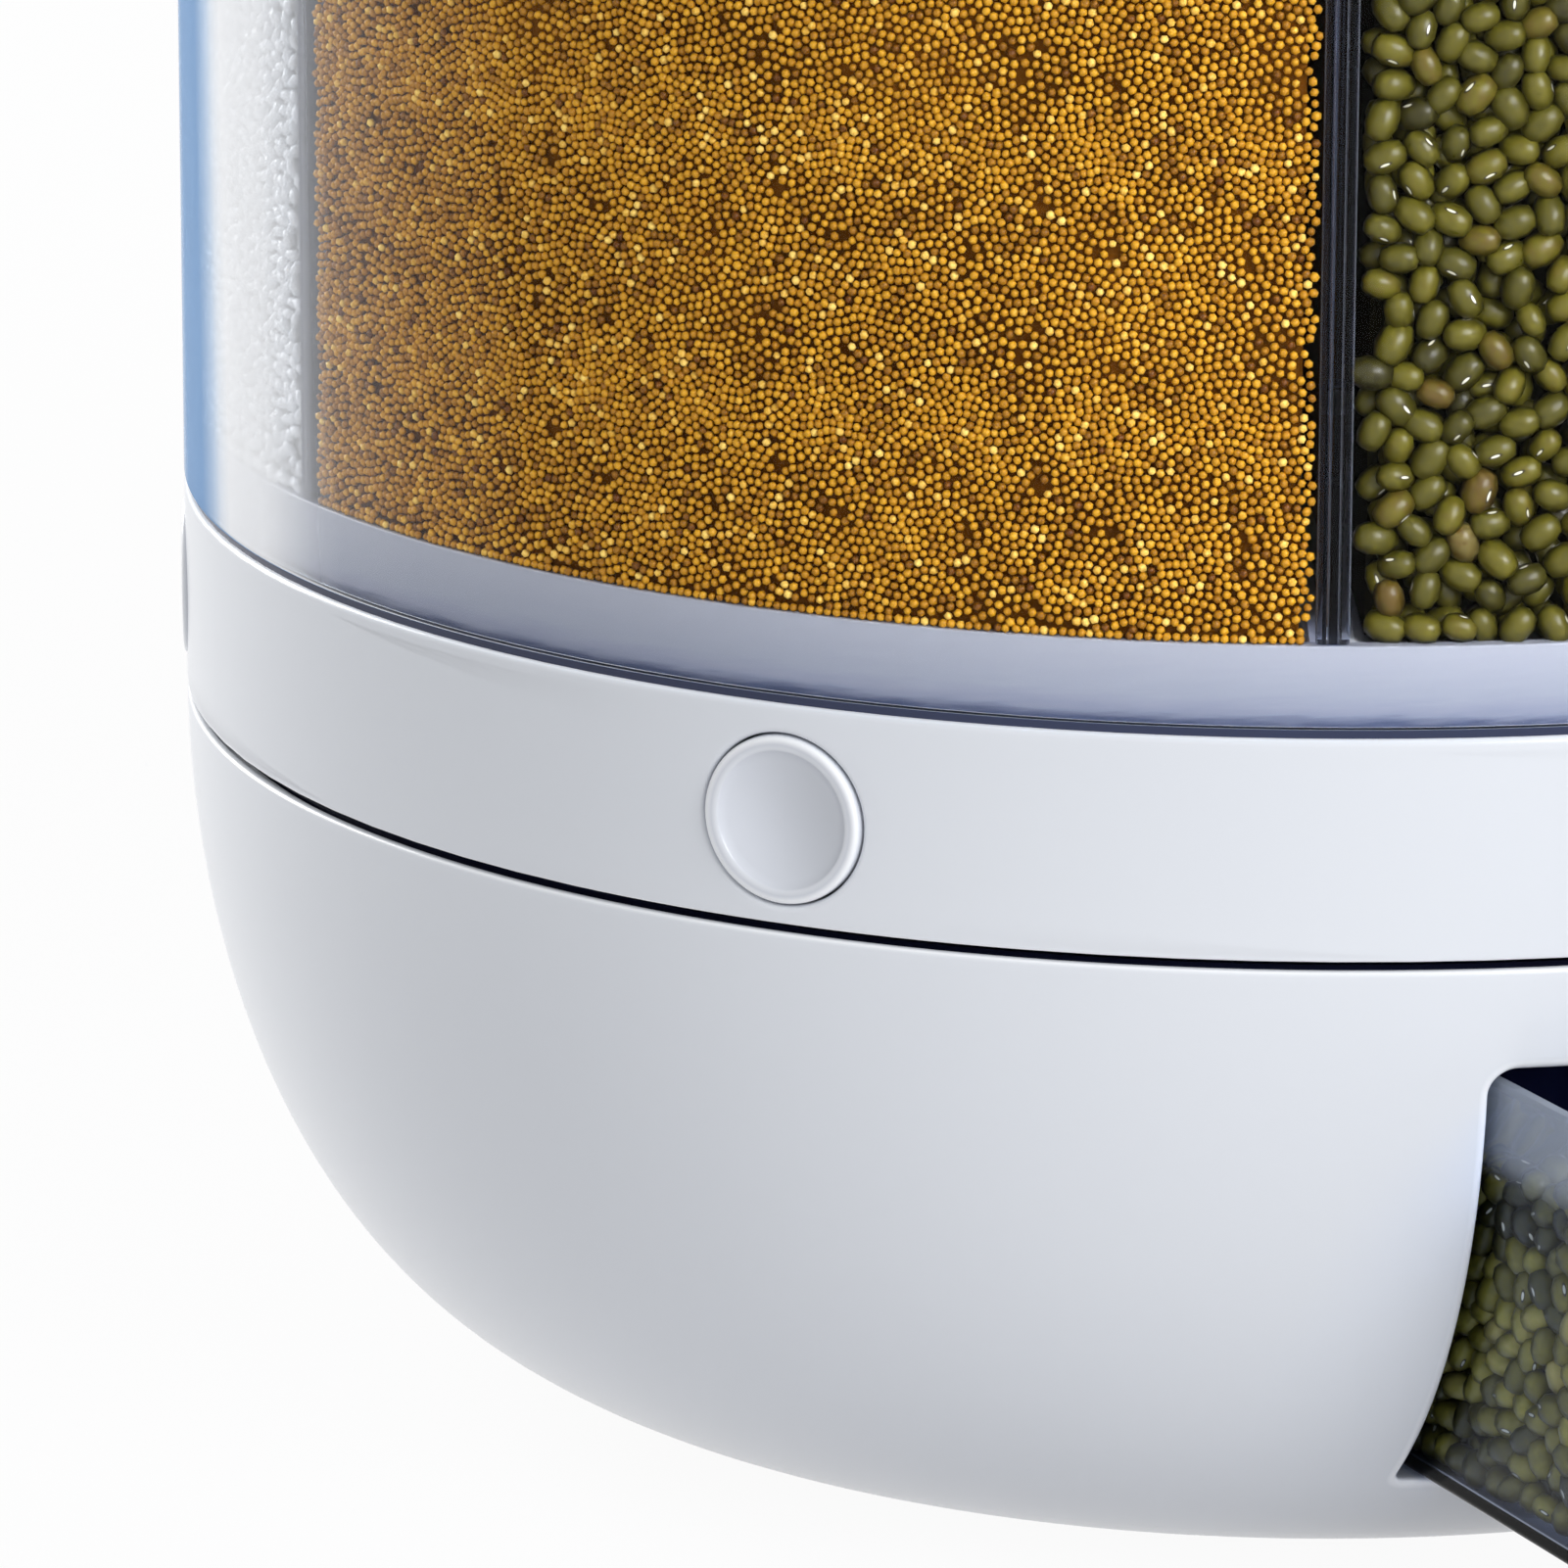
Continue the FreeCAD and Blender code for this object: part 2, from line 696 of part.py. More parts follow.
def crossing(first, second, z):
    """The corner where two upright planes meet, each given by its normal's bearing and its distance."""
    a = on_bearing(1, first[0], 0)
    b = on_bearing(1, second[0], 0)
    scale = a.x * b.y - a.y * b.x
    return at((first[1] * b.y - second[1] * a.y) / scale, (second[1] * a.x - first[1] * b.x) / scale, z)


def funnel_outline(inner, sides, z):
    """A four-sided outline: square to the button's bearing inside, and along the partitions at its sides."""
    far = body_radius
    planes = [(button_bearing, inner), (90 + half_pitch, -sides[0]), (button_bearing, far),
              (-90 - half_pitch, -sides[1])]
    return [crossing(planes[index - 1], planes[index], z) for index in range(4)]


def flat_sided(low, high):
    """A solid with flat sides between two outlines whose edges are parallel, corner for corner."""
    faces = [flat_face(low), flat_face(high)]
    for index in range(len(low)):
        faces.append(flat_face([low[index - 1], low[index], high[index], high[index - 1]]))
    solid = Part.Solid(Part.Shell(faces))
    if solid.Volume < 0:
        solid.reverse()
    return solid


def outlet_sides():
    """How far the sides of an outlet lie from the partitions, so that its outer edge fits the gate's window."""
    reach = on_bearing(outlet_outer_radius, button_bearing, 0)
    across = on_bearing(outlet_half_width, button_bearing + 90, 0)
    right = (reach + across).dot(on_bearing(1, 90 + half_pitch, 0))
    left = (reach - across).dot(on_bearing(1, -90 - half_pitch, 0))
    return -right, -left


def funnel_inside():
    """The room in one funnel: flat inner and side walls, and a cone at the round wall."""
    throat_z = spout_z + spout_length
    web = web_thickness / 2
    sides = outlet_sides()
    low = funnel_outline(outlet_inner_radius, sides, throat_z)
    room = flat_sided(low, funnel_outline(mouth_inner_radius, [web, web], collar_top_z))
    room = room.common(lathe([(0, throat_z), (outlet_outer_radius, throat_z), (floor_radius, collar_top_z),
                              (0, collar_top_z)]))
    spout = flat_face(funnel_outline(outlet_inner_radius, sides, spout_z)).extrude(at(0, 0, spout_length))
    return [room, spout.common(disc(outlet_outer_radius, spout_z, throat_z))]


def make_funnel():
    """The funnel under the front compartment, down from the floor plate to a spout over its gate."""
    wall = funnel_wall
    roof_z = collar_top_z - wall
    skin = web_thickness / 4
    thick = [side - wall for side in outlet_sides()]
    foot = funnel_outline(outlet_inner_radius - wall, thick, spout_z)
    funnel = flat_sided(foot, funnel_outline(mouth_inner_radius - wall, [skin, skin], roof_z))
    funnel = funnel.common(lathe([(0, spout_z), (outlet_outer_radius + wall, spout_z),
                                  (floor_radius - fit_gap, roof_z), (0, roof_z)]))
    funnel = cut_all(funnel, funnel_inside())
    for side in (-half_pitch, half_pitch):
        funnel = funnel.cut(hole_at(ring_boss_radius + fit_gap, spout_z, roof_z, on_bearing(ring_screw_circle, side, 0)))
        funnel = funnel.cut(hole_at(post_radius + fit_gap, spout_z, roof_z, on_bearing(post_circle, side, 0)))
    return funnel


def make_hopper_floor():
    """The floor plate with a mouth for each funnel, inside a collar, round a hub that holds the bearing bush."""
    roof_z = collar_top_z - funnel_wall
    middle_z = collar_top_z - funnel_wall / 2
    cone_top = collar_top_z + cone_rise
    collar = tube(floor_radius, collar_radius, ledge_top_z, collar_top_z)
    flange = tube(ring_ledge_radius + fit_gap, collar_radius, ledge_top_z, ledge_top_z + flange_thickness)
    plate = disc(floor_radius + collar_wall / 2, roof_z, collar_top_z)
    cone_radius = mouth_inner_radius - cone_margin
    cone = lathe([(0, roof_z), (cone_radius, roof_z), (cone_radius, collar_top_z), (hub_radius, cone_top),
                  (0, cone_top)])
    hub = disc(hub_radius, spout_z, cone_top)
    boss = disc(ring_boss_radius, ledge_top_z, middle_z, 0, -ring_screw_circle)
    post = disc(post_radius, tray_top_z, middle_z, 0, -post_circle)
    parts = [collar, flange, plate, cone, hub]
    parts += repeated(boss, fixing_count, half_pitch)
    parts += repeated(post, fixing_count, half_pitch)
    floor = cut_all(joined(parts), repeated(funnel_inside()[0], compartments, 0))
    pilot = small_screw_radius + screw_gap
    depth = screw_bite + 1
    floor = cut_all(floor, holes(pilot, ring_screw_circle, ledge_top_z, ledge_top_z + depth, fixing_count, half_pitch))
    floor = cut_all(floor, holes(pilot, post_circle, tray_top_z, tray_top_z + depth, fixing_count, half_pitch))
    floor = floor.cut(disc(bush_radius + screw_gap, spout_z, cone_top))
    return floor.cut(disc(bush_flange_radius + screw_gap, bush_top_z - bush_flange_thickness, cone_top))


def make_hub_bush():
    inner = spindle_radius + turning_gap
    shoulder = bush_top_z - bush_flange_thickness
    return lathe([(inner, spout_z), (bush_radius, spout_z), (bush_radius, shoulder),
                  (bush_flange_radius, shoulder), (bush_flange_radius, bush_top_z), (inner, bush_top_z)])


def barrel_radius_at(z):
    share = (z - barrel_z) / (barrel_top_z - barrel_z)
    return barrel_inner_radius - barrel_draft * share


def make_barrel():
    inner_top = barrel_top_radius - barrel_wall
    bevel = barrel_edge_bevel
    return lathe([
        (barrel_inner_radius, barrel_z), (body_radius - bevel, barrel_z), (body_radius, barrel_z + bevel),
        (barrel_top_radius, barrel_top_z - bevel), (barrel_top_radius - bevel, barrel_top_z),
        (inner_top, barrel_top_z),
    ])


def make_barrel_seal():
    return tube(barrel_inner_radius, body_radius - seal_inset, ledge_top_z, barrel_z)


def make_divider_plates():
    """Six upright partitions whose foot follows the hopper floor's cone, with a bead at the wall."""
    top = barrel_top_z - divider_top_gap
    floor = collar_top_z + divider_foot_gap
    slope = cone_rise / (mouth_inner_radius - cone_margin - hub_radius)
    cone_edge = mouth_inner_radius - cone_margin + divider_foot_gap / slope
    hub = divider_hub_radius + screw_gap
    hub_floor = floor + cone_rise
    reach_low = barrel_radius_at(floor) - fit_gap
    reach_top = barrel_radius_at(top) - fit_gap
    inset = divider_bead_depth

    def slab(profile, width):
        corners = [at(-width / 2, -radius, z) for radius, z in profile]
        return flat_face(corners).extrude(at(width, 0, 0))

    plate = slab([(hub, hub_floor), (hub_radius, hub_floor), (cone_edge, floor), (reach_low - inset / 2, floor),
                  (reach_top - inset / 2, top), (hub, top)], divider_thickness)
    bead = slab([(reach_low - inset, floor), (reach_low, floor), (reach_top, top), (reach_top - inset, top)],
                divider_bead_width)
    corners = [edge for edge in bead.Edges if edge.BoundBox.ZLength > divider_bead_depth * 2]
    bead = bead.makeFillet(divider_bead_round, corners)
    plate = joined([plate, bead])
    plates = [turned(plate, half_pitch + index * pitch) for index in range(compartments)]
    return Part.makeCompound(plates)


def make_divider_hub():
    low = collar_top_z + cone_rise
    return tube(divider_hub_radius - divider_hub_wall, divider_hub_radius, low, barrel_top_z - divider_top_gap)


def lid_profile(inset, low):
    """Half the lid's section: an upright side, a round shoulder and a low slope up to the well."""
    radius = barrel_top_radius - inset
    bend = lid_shoulder - inset
    brim = lid_top_z - lid_crown - inset
    points = [(0, low), (radius, low)]
    for step in range(lid_shoulder_steps + 1):
        angle = math.radians(90.0 * step / lid_shoulder_steps)
        points.append((radius - bend + bend * math.cos(angle), brim - bend + bend * math.sin(angle)))
    return points + [(well_radius, lid_top_z - inset), (0, lid_top_z - inset)]


def make_lid_cover():
    """The domed cover with a round well in its middle for the knob."""
    well_z = lid_top_z - well_depth
    outer = well_radius + lid_wall
    cover = lathe(lid_profile(0, lid_z)).cut(lathe(lid_profile(lid_wall, lid_z)))
    well = disc(outer, well_z - lid_wall, lid_top_z - lid_wall / 2)
    cover = joined([cover, well]).cut(disc(well_radius, well_z, lid_top_z))
    cover = cover.cut(disc(lid_bore, lid_z, lid_top_z))
    notch = lug_shape(lug_reach + notch_gap, lid_z, lid_top_z, lug_angle + notch_angle_gap)
    return cut_all(cover, repeated(notch, 2, lug_turn))


def lug_shape(reach, low, high, angle):
    """A short sector that stands out from the drying box."""
    radius = lid_bore - knob_side_gap + reach
    sector = Part.makeCylinder(radius, high - low, at(0, 0, low), up, angle)
    sector.rotate(origin, up, -90 - angle / 2)
    return sector


def make_lid_liner():
    top = lid_z + liner_thickness
    outer = barrel_top_radius - lid_wall - fit_gap
    inner_wall = barrel_top_radius - barrel_wall
    skirt_outer = inner_wall - gasket_height
    skirt_inner = skirt_outer - lid_skirt_wall
    low = lid_z - lid_skirt_depth
    flange_low = low + lid_skirt_wall / 2
    liner = lathe([
        (lid_bore + fit_gap, lid_z), (skirt_inner, lid_z), (skirt_inner, low),
        (skirt_outer + liner_hook, low), (skirt_outer + liner_hook, flange_low), (skirt_outer, flange_low),
        (skirt_outer, lid_z), (outer, lid_z), (outer, top), (lid_bore + fit_gap, top),
    ])
    rib = block(-liner_rib_half, liner_rib_half, -skirt_inner, -lid_bore - liner_rib_gap,
                top - liner_thickness / 2, top + liner_rib_height)
    return joined([liner] + repeated(rib, compartments, 0))


def make_lid_gasket():
    """A soft ring with a lip that presses on the inside of the barrel."""
    wall = barrel_top_radius - barrel_wall
    inner = wall - gasket_height
    core = inner + gasket_core
    low = lid_z - lid_skirt_depth + lid_skirt_wall / 2
    high = lid_z - gasket_top_gap
    return lathe([(inner, low), (core, low), (wall - fit_gap, (low + high) / 2), (core, high), (inner, high)])


def make_lid_knob():
    """The round cap that fills the lid's well, with a raised bar to turn it by."""
    low = lid_top_z - well_depth
    radius = well_radius - knob_side_gap
    cap = disc(radius, low, low + knob_plate)
    half = knob_bar_half_width
    top = low + knob_plate + knob_bar_height
    reach = radius - knob_bar_inset
    bar = block(-half, half, -reach, reach, low + knob_plate / 2, top)
    upper = [edge for edge in bar.Edges if edge.BoundBox.ZMin > top - knob_plate / 2]
    bar = bar.makeFillet(knob_bar_round, upper)
    return joined([cap, bar.common(disc(radius, low, top))])


def make_drying_box():
    """The vented box under the knob, with two lugs that lock below the lid."""
    top = lid_top_z - well_depth
    radius = lid_bore - knob_side_gap
    low = top - box_depth
    box = disc(radius, low, top).cut(disc(radius - box_wall, low + box_wall, top + 1))
    slot_z = low + box_wall + box_slot_rise
    half = box_slot_width / 2
    slot = block(-half, half, -radius - 1, -radius / 2, slot_z, slot_z + box_slot_length)
    box = cut_all(box, repeated(slot, box_slot_count, 180.0 / box_slot_count))
    lug_z = top - lid_wall - fit_gap - lug_thickness
    lug = lug_shape(lug_reach, lug_z, lug_z + lug_thickness, lug_angle)
    lug = lug.cut(disc(radius - box_wall, lug_z - 1, top))
    return joined([box, lug, turned(lug, 180)])


def screw_group(length, circle, z, head_up, count, first):
    """Small screws spread evenly on a circle, their heads on the face at the given height."""
    shape = screw(small_screw_radius, small_head_radius, small_head_height, length, head_up)
    shape.translate(at(0, -circle, z))
    return Part.makeCompound(repeated(shape, count, first))


def make_screws():
    bite = screw_bite
    pivot = screw(large_screw_radius, large_head_radius, large_head_height, washer_thickness + pivot_bite, True)
    pivot.translate(at(0, 0, spindle_top_z + washer_thickness))
    bay = screw(small_screw_radius, small_head_radius, small_head_height, plate_thickness + bite, False)
    bay_screws = []
    for place in bay_leg_places():
        one = bay.copy()
        one.translate(place + at(0, 0, bowl_base_z))
        bay_screws.append(one)
    flange_top = deck_top_z + spindle_flange_thickness
    head_z = tray_z + head_recess
    return {
        "spindle_screw": pivot,
        "spindle_fixings": screw_group(spindle_flange_thickness + deck_thickness, spindle_fixing_circle, flange_top,
                                       True, spindle_fixings, 0),
        "deck_screws": screw_group(deck_thickness + bite, boss_circle, deck_top_z, True, fixing_count, half_pitch),
        "tray_screws": screw_group(tray_top_z - head_z + bite, post_circle, head_z, False, fixing_count, half_pitch),
        "ring_screws": screw_group(ring_ledge_thickness + bite, ring_screw_circle, ledge_z, False, fixing_count,
                                   half_pitch),
        "bay_screws": Part.makeCompound(bay_screws),
        "bottom_screws": screw_group(bowl_floor - pilot_floor * 2, plate_screw_circle, bowl_base_z, False, foot_count,
                                     180.0 / foot_count),
    }


def make_nodes():
    nodes = {
        "bowl_shell": make_bowl_shell(),
        "bottom_plate": make_bottom_plate(),
        "rubber_feet": make_rubber_feet(),
        "cup_bay": make_cup_bay(),
        "measuring_cup": make_measuring_cup(),
        "base_deck": make_base_deck(),
        "outlet_chute": make_outlet_chute(),
        "glide_ring": tube(glide_inner_radius, glide_outer_radius, deck_top_z, glide_top_z),
        "spindle": make_spindle(),
        "spindle_washer": tube(large_screw_radius + fit_gap, washer_radius, spindle_top_z,
                               spindle_top_z + washer_thickness),
        "button_ring": make_button_ring(),
        "hopper_floor": make_hopper_floor(),
        "hub_bush": make_hub_bush(),
        "gate_tray": make_gate_tray(),
        "barrel": make_barrel(),
        "barrel_seal": make_barrel_seal(),
        "divider_plates": make_divider_plates(),
        "divider_hub": make_divider_hub(),
        "lid_cover": make_lid_cover(),
        "lid_liner": make_lid_liner(),
        "lid_gasket": make_lid_gasket(),
        "lid_knob": make_lid_knob(),
        "drying_box": make_drying_box(),
    }
    nodes.update(make_screws())
    sets = [("funnel", make_funnel(), 0), ("button", make_button(), button_bearing),
            ("button_spring", make_button_spring(), button_bearing), ("gate", make_gate(), button_bearing)]
    for name, shape, first in sets:
        for index, copy in enumerate(repeated(shape, compartments, first)):
            nodes[name + "_" + str(index + 1)] = copy
    return nodes


if __name__ == "__main__":
    os.makedirs("parts", exist_ok=True)
    for node, shape in make_nodes().items():
        print(node, shape.isValid(), len(shape.Solids), round(shape.Volume))
        shape.exportStep("parts/" + node + ".step")
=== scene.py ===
import json
import math
import bpy
import bmesh
import numpy as np
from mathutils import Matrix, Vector


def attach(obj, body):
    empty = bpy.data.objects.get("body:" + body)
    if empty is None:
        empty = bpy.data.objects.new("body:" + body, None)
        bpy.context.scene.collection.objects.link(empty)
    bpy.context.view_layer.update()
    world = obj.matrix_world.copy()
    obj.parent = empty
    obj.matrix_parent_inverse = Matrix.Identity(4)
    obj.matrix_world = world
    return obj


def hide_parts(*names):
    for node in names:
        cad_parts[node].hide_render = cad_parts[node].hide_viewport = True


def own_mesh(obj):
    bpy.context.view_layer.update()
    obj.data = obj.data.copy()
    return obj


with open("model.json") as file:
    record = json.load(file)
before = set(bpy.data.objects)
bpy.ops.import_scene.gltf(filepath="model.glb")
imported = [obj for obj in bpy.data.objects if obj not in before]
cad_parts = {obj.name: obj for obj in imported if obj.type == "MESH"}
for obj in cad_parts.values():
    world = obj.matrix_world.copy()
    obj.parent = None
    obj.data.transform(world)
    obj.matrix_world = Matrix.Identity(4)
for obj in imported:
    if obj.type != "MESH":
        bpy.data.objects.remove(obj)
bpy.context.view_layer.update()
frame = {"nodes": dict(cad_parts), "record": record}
nodes = frame["nodes"]
print("frame loaded:", len(nodes), "nodes")

# Sizes of pieces are millimetres and degrees; points become metres when a mesh is filled. Bump distances, the
# heights in clearPlastic, lamps and camera are metres.
# A bearing of 0 is the front (-Y) and bearings grow towards +X.
mm = 0.001
seed = 41
weld = {"merge": 0.004, "collapse": 0.001}
rng = np.random.default_rng(seed)


def onBearing(radius, bearing, height):
    # x = radius * sin(bearing), y = -radius * cos(bearing), z = height
    angle = np.radians(bearing)
    x, y, z = np.broadcast_arrays(radius * np.sin(angle), -radius * np.cos(angle), height)
    return np.stack([x, y, z], axis=-1).astype(float)


def unit(vectors):
    return vectors / np.linalg.norm(vectors, axis=-1, keepdims=True)


def fillMesh(points, faceSets):
    # faceSets: arrays of triangles or quads, one row per face; addPiece names the mesh
    mesh = bpy.data.meshes.new("skin")
    corners = np.concatenate([f.ravel() for f in faceSets]).astype(np.int32)
    sizes = np.concatenate([np.full(len(f), f.shape[1]) for f in faceSets])
    starts = np.concatenate([[0], np.cumsum(sizes)[:-1]]).astype(np.int32)
    mesh.vertices.add(len(points))
    mesh.vertices.foreach_set("co", (points * mm).astype(np.float32).ravel())
    mesh.loops.add(len(corners))
    mesh.loops.foreach_set("vertex_index", corners)
    mesh.polygons.add(len(sizes))
    mesh.polygons.foreach_set("loop_start", starts)
    mesh.update(calc_edges=True)
    return mesh


def gridFaces(rows, columns, start=0):
    # a quad between each pair of neighbouring rows and columns
    index = np.arange(rows * columns).reshape(rows, columns) + start
    return np.stack([index[:-1, :-1], index[1:, :-1], index[1:, 1:], index[:-1, 1:]], axis=-1).reshape(-1, 4)


def addAttribute(mesh, name, kind, values):
    slot = "vector" if kind == "FLOAT_VECTOR" else "value"
    mesh.attributes.new(name, kind, "POINT").data.foreach_set(slot, values.astype(np.float32).ravel())


def smoothFaces(mesh):
    mesh.polygons.foreach_set("use_smooth", np.ones(len(mesh.polygons), bool))


def shellMesh(grids, sharpAngle=50, paintedEdges=None):
    # grids of points that meet along shared borders, merged into one closed skin
    # for some grids, how much each row or point takes a painted edge: a painted highlight on white parts,
    # painted shade in the partitions' grooves
    faces, points, shares, start = [], [], [], 0
    for order, grid in enumerate(grids):
        rows, columns = grid.shape[:2]
        faces.append(gridFaces(rows, columns, start))
        points.append(grid.reshape(-1, 3))
        share = np.asarray((paintedEdges or {}).get(order, 0.0), float)
        shares.append(np.broadcast_to(share if share.ndim != 1 else share[:, None], (rows, columns)).ravel())
        start += rows * columns
    mesh = fillMesh(np.concatenate(points), faces)
    if paintedEdges:
        addAttribute(mesh, "paintedEdgeShare", "FLOAT", np.concatenate(shares))
    work = bmesh.new()
    work.from_mesh(mesh)
    bmesh.ops.remove_doubles(work, verts=work.verts, dist=weld["merge"] * mm)
    bmesh.ops.dissolve_degenerate(work, edges=work.edges, dist=weld["collapse"] * mm)
    bmesh.ops.recalc_face_normals(work, faces=work.faces)
    work.to_mesh(mesh)
    work.free()
    smoothFaces(mesh)
    mesh.set_sharp_from_angle(angle=math.radians(sharpAngle))
    return mesh


def addToScene(name, data):
    thing = bpy.data.objects.new(name, data)
    bpy.context.scene.collection.objects.link(thing)
    return thing


def addPiece(name, mesh, material, body, stands=()):
    mesh.name = name
    piece = addToScene(name, mesh)
    mesh.materials.append(material)
    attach(piece, body)
    if stands:
        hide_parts(*stands)
    return piece


def latheGrid(profile, bearings):
    # each (radius, height) pair of the profile swept round the Z axis
    profile = np.asarray(profile, float)
    return onBearing(profile[:, :1], bearings[None, :], profile[:, 1:])


def fullTurn(steps):
    return np.linspace(0, 360, steps + 1)


def roundCorner(first, corner, last, steps=5):
    # quadratic curve from first to last that leaves and arrives along the sides through corner
    # each of the three is one point or a whole row of points
    first, corner, last = (np.asarray(p, float) for p in (first, corner, last))
    u = np.linspace(0, 1, steps + 1).reshape(-1, *[1] * first.ndim)
    return (1 - u) ** 2 * first + 2 * u * (1 - u) * corner + u ** 2 * last


def roundedOutline(corners, radii, arcSteps, sideSteps):
    # a closed outline of straight sides and corner arcs; it starts in the middle of the first corner's arc
    corners = [np.asarray(c, float) for c in corners]
    arcs = []
    for i, corner in enumerate(corners):
        before = corners[i - 1] - corner
        after = corners[(i + 1) % len(corners)] - corner
        before, after = unit(before), unit(after)
        half = math.acos(float(np.clip(before @ after, -1, 1))) / 2
        middle = corner + unit(before + after) * radii[i] / math.sin(half)
        turn = math.pi - 2 * half
        u = np.linspace(0, 1, arcSteps + 1)[:, None]
        startArm = corner + before * radii[i] / math.tan(half) - middle
        endArm = corner + after * radii[i] / math.tan(half) - middle
        arcs.append(middle + (np.sin((1 - u) * turn) * startArm + np.sin(u * turn) * endArm) / math.sin(turn))
    runs = []
    for i, arc in enumerate(arcs):
        goal = arcs[(i + 1) % len(arcs)][0]
        u = np.linspace(0, 1, sideSteps + 2)[1:-1, None]
        runs += [arc, arc[-1] * (1 - u) + goal * u]
    outline = np.concatenate(runs)
    return np.roll(outline, -(arcSteps // 2), axis=0)


def boxOutline(low, high, arcSteps, sideSteps, share=0.08):
    # a rectangle's outline with the same number of points as roundedOutline gives, from corner to corner
    half = arcSteps // 2
    u = np.concatenate([np.linspace(0, share, half + 1)[:-1], np.linspace(share, 1 - share, sideSteps + 2)[:-1],
                        np.linspace(1 - share, 1, half + 1)[:-1]])[:, None]
    spots = [(low[0], low[1]), (high[0], low[1]), (high[0], high[1]), (low[0], high[1])]
    sides = [np.array(spots[i]) * (1 - u) + np.array(spots[(i + 1) % 4]) * u for i in range(4)]
    return np.concatenate(sides), u[:, 0]


def closeLoop(points):
    return np.concatenate([points, points[:, :1]], axis=1)


def startMaterial(name):
    material = bpy.data.materials.new(name)
    material.use_nodes = True
    tree = material.node_tree
    return material, tree, tree.nodes["Principled BSDF"]


def feed(tree, node, inputs):
    # a socket is linked to the input of that name or number; any other value is set on it
    for key, value in inputs.items():
        if isinstance(value, bpy.types.NodeSocket):
            tree.links.new(value, node.inputs[key])
        else:
            node.inputs[key].default_value = value


def addNode(tree, kind, inputs=None, **settings):
    node = tree.nodes.new("ShaderNode" + kind)
    for key, value in settings.items():
        setattr(node, key, value)
    feed(tree, node, inputs or {})
    return node


def colourRamp(tree, factor, stops):
    ramp = addNode(tree, "ValToRGB", {0: factor})
    elements = ramp.color_ramp.elements
    while len(elements) < len(stops):
        elements.new(0.5)
    for element, (place, colour) in zip(elements, stops):
        element.position = place
        element.color = (*colour, 1)
    return ramp.outputs[0]


def greyRamp(tree, factor, stops):
    return colourRamp(tree, factor, [(at, (much, much, much)) for at, much in stops])


def mathOf(tree, operation, *values):
    return addNode(tree, "Math", dict(enumerate(values)), operation=operation).outputs[0]


def vectorOf(tree, operation, *values):
    return addNode(tree, "VectorMath", dict(enumerate(values)), operation=operation).outputs


def mixColours(tree, share, first, second, how="MIX"):
    inputs = {"Factor": share, "A": first, "B": second}
    return addNode(tree, "Mix", inputs, data_type="RGBA", blend_type=how).outputs["Result"]


def mixSurfaces(tree, share, first, second):
    return addNode(tree, "MixShader", {"Fac": share, 1: first, 2: second}).outputs[0]


def mixInto(tree, surface, share, colour):
    # a matt colour over the surface, by that share
    return mixSurfaces(tree, share, surface, addNode(tree, "BsdfDiffuse", {"Color": (*colour, 1)}).outputs[0])


def meshValue(tree, name, output="Fac"):
    return addNode(tree, "Attribute", attribute_name=name).outputs[output]


def objectPlace(tree):
    return addNode(tree, "TexCoord").outputs["Object"]


def noiseOf(tree, scale, detail=2.0, roughness=0.5, place=None):
    inputs = {"Scale": scale, "Detail": detail, "Roughness": roughness, "Vector": place or objectPlace(tree)}
    return addNode(tree, "TexNoise", inputs).outputs["Fac"]


def rangeOf(tree, value, goal=(0.0, 1.0), source=(0.0, 1.0)):
    # source is stretched onto goal, and the value stays inside it
    node = addNode(tree, "MapRange", {"Value": value, "From Min": source[0], "From Max": source[1],
                                      "To Min": goal[0], "To Max": goal[1]})
    return node.outputs["Result"]


def steepnessOf(tree):
    # 0 where the surface faces the eye, 1 where it is seen edge-on
    return addNode(tree, "LayerWeight", {"Blend": 0.5}).outputs["Facing"]


mould = {"driftScale": 14, "driftDetail": 3, "bump": 0.25, "coatRoughness": 0.12}
glass = {"hazeScale": 300, "hazeSpread": 0.4, "glossIor": 2.3, "glossRoughness": 0.1}


def mouldedPlastic(name, light, dark, rough, grainScale, grainHeight, coat=0.0, shine=0.5, edge=None):
    # two close tones in a slow drift, a fine grain in roughness and bump, and a painted highlight, a lighter
    # tone, on marked edges
    material, tree, shader = startMaterial(name)
    drift = noiseOf(tree, mould["driftScale"], mould["driftDetail"])
    tone = colourRamp(tree, drift, [(0.3, dark), (0.7, light)])
    if edge:
        tone = mixColours(tree, meshValue(tree, "paintedEdgeShare"), tone, (*edge, 1))
    grain = noiseOf(tree, grainScale)
    bump = addNode(tree, "Bump", {"Strength": mould["bump"], "Distance": grainHeight, "Height": grain})
    feed(tree, shader, {"Base Color": tone, "Roughness": rangeOf(tree, grain, rough), "Coat Weight": coat,
                        "Coat Roughness": mould["coatRoughness"], "Specular IOR Level": shine,
                        "Normal": bump.outputs[0]})
    return material


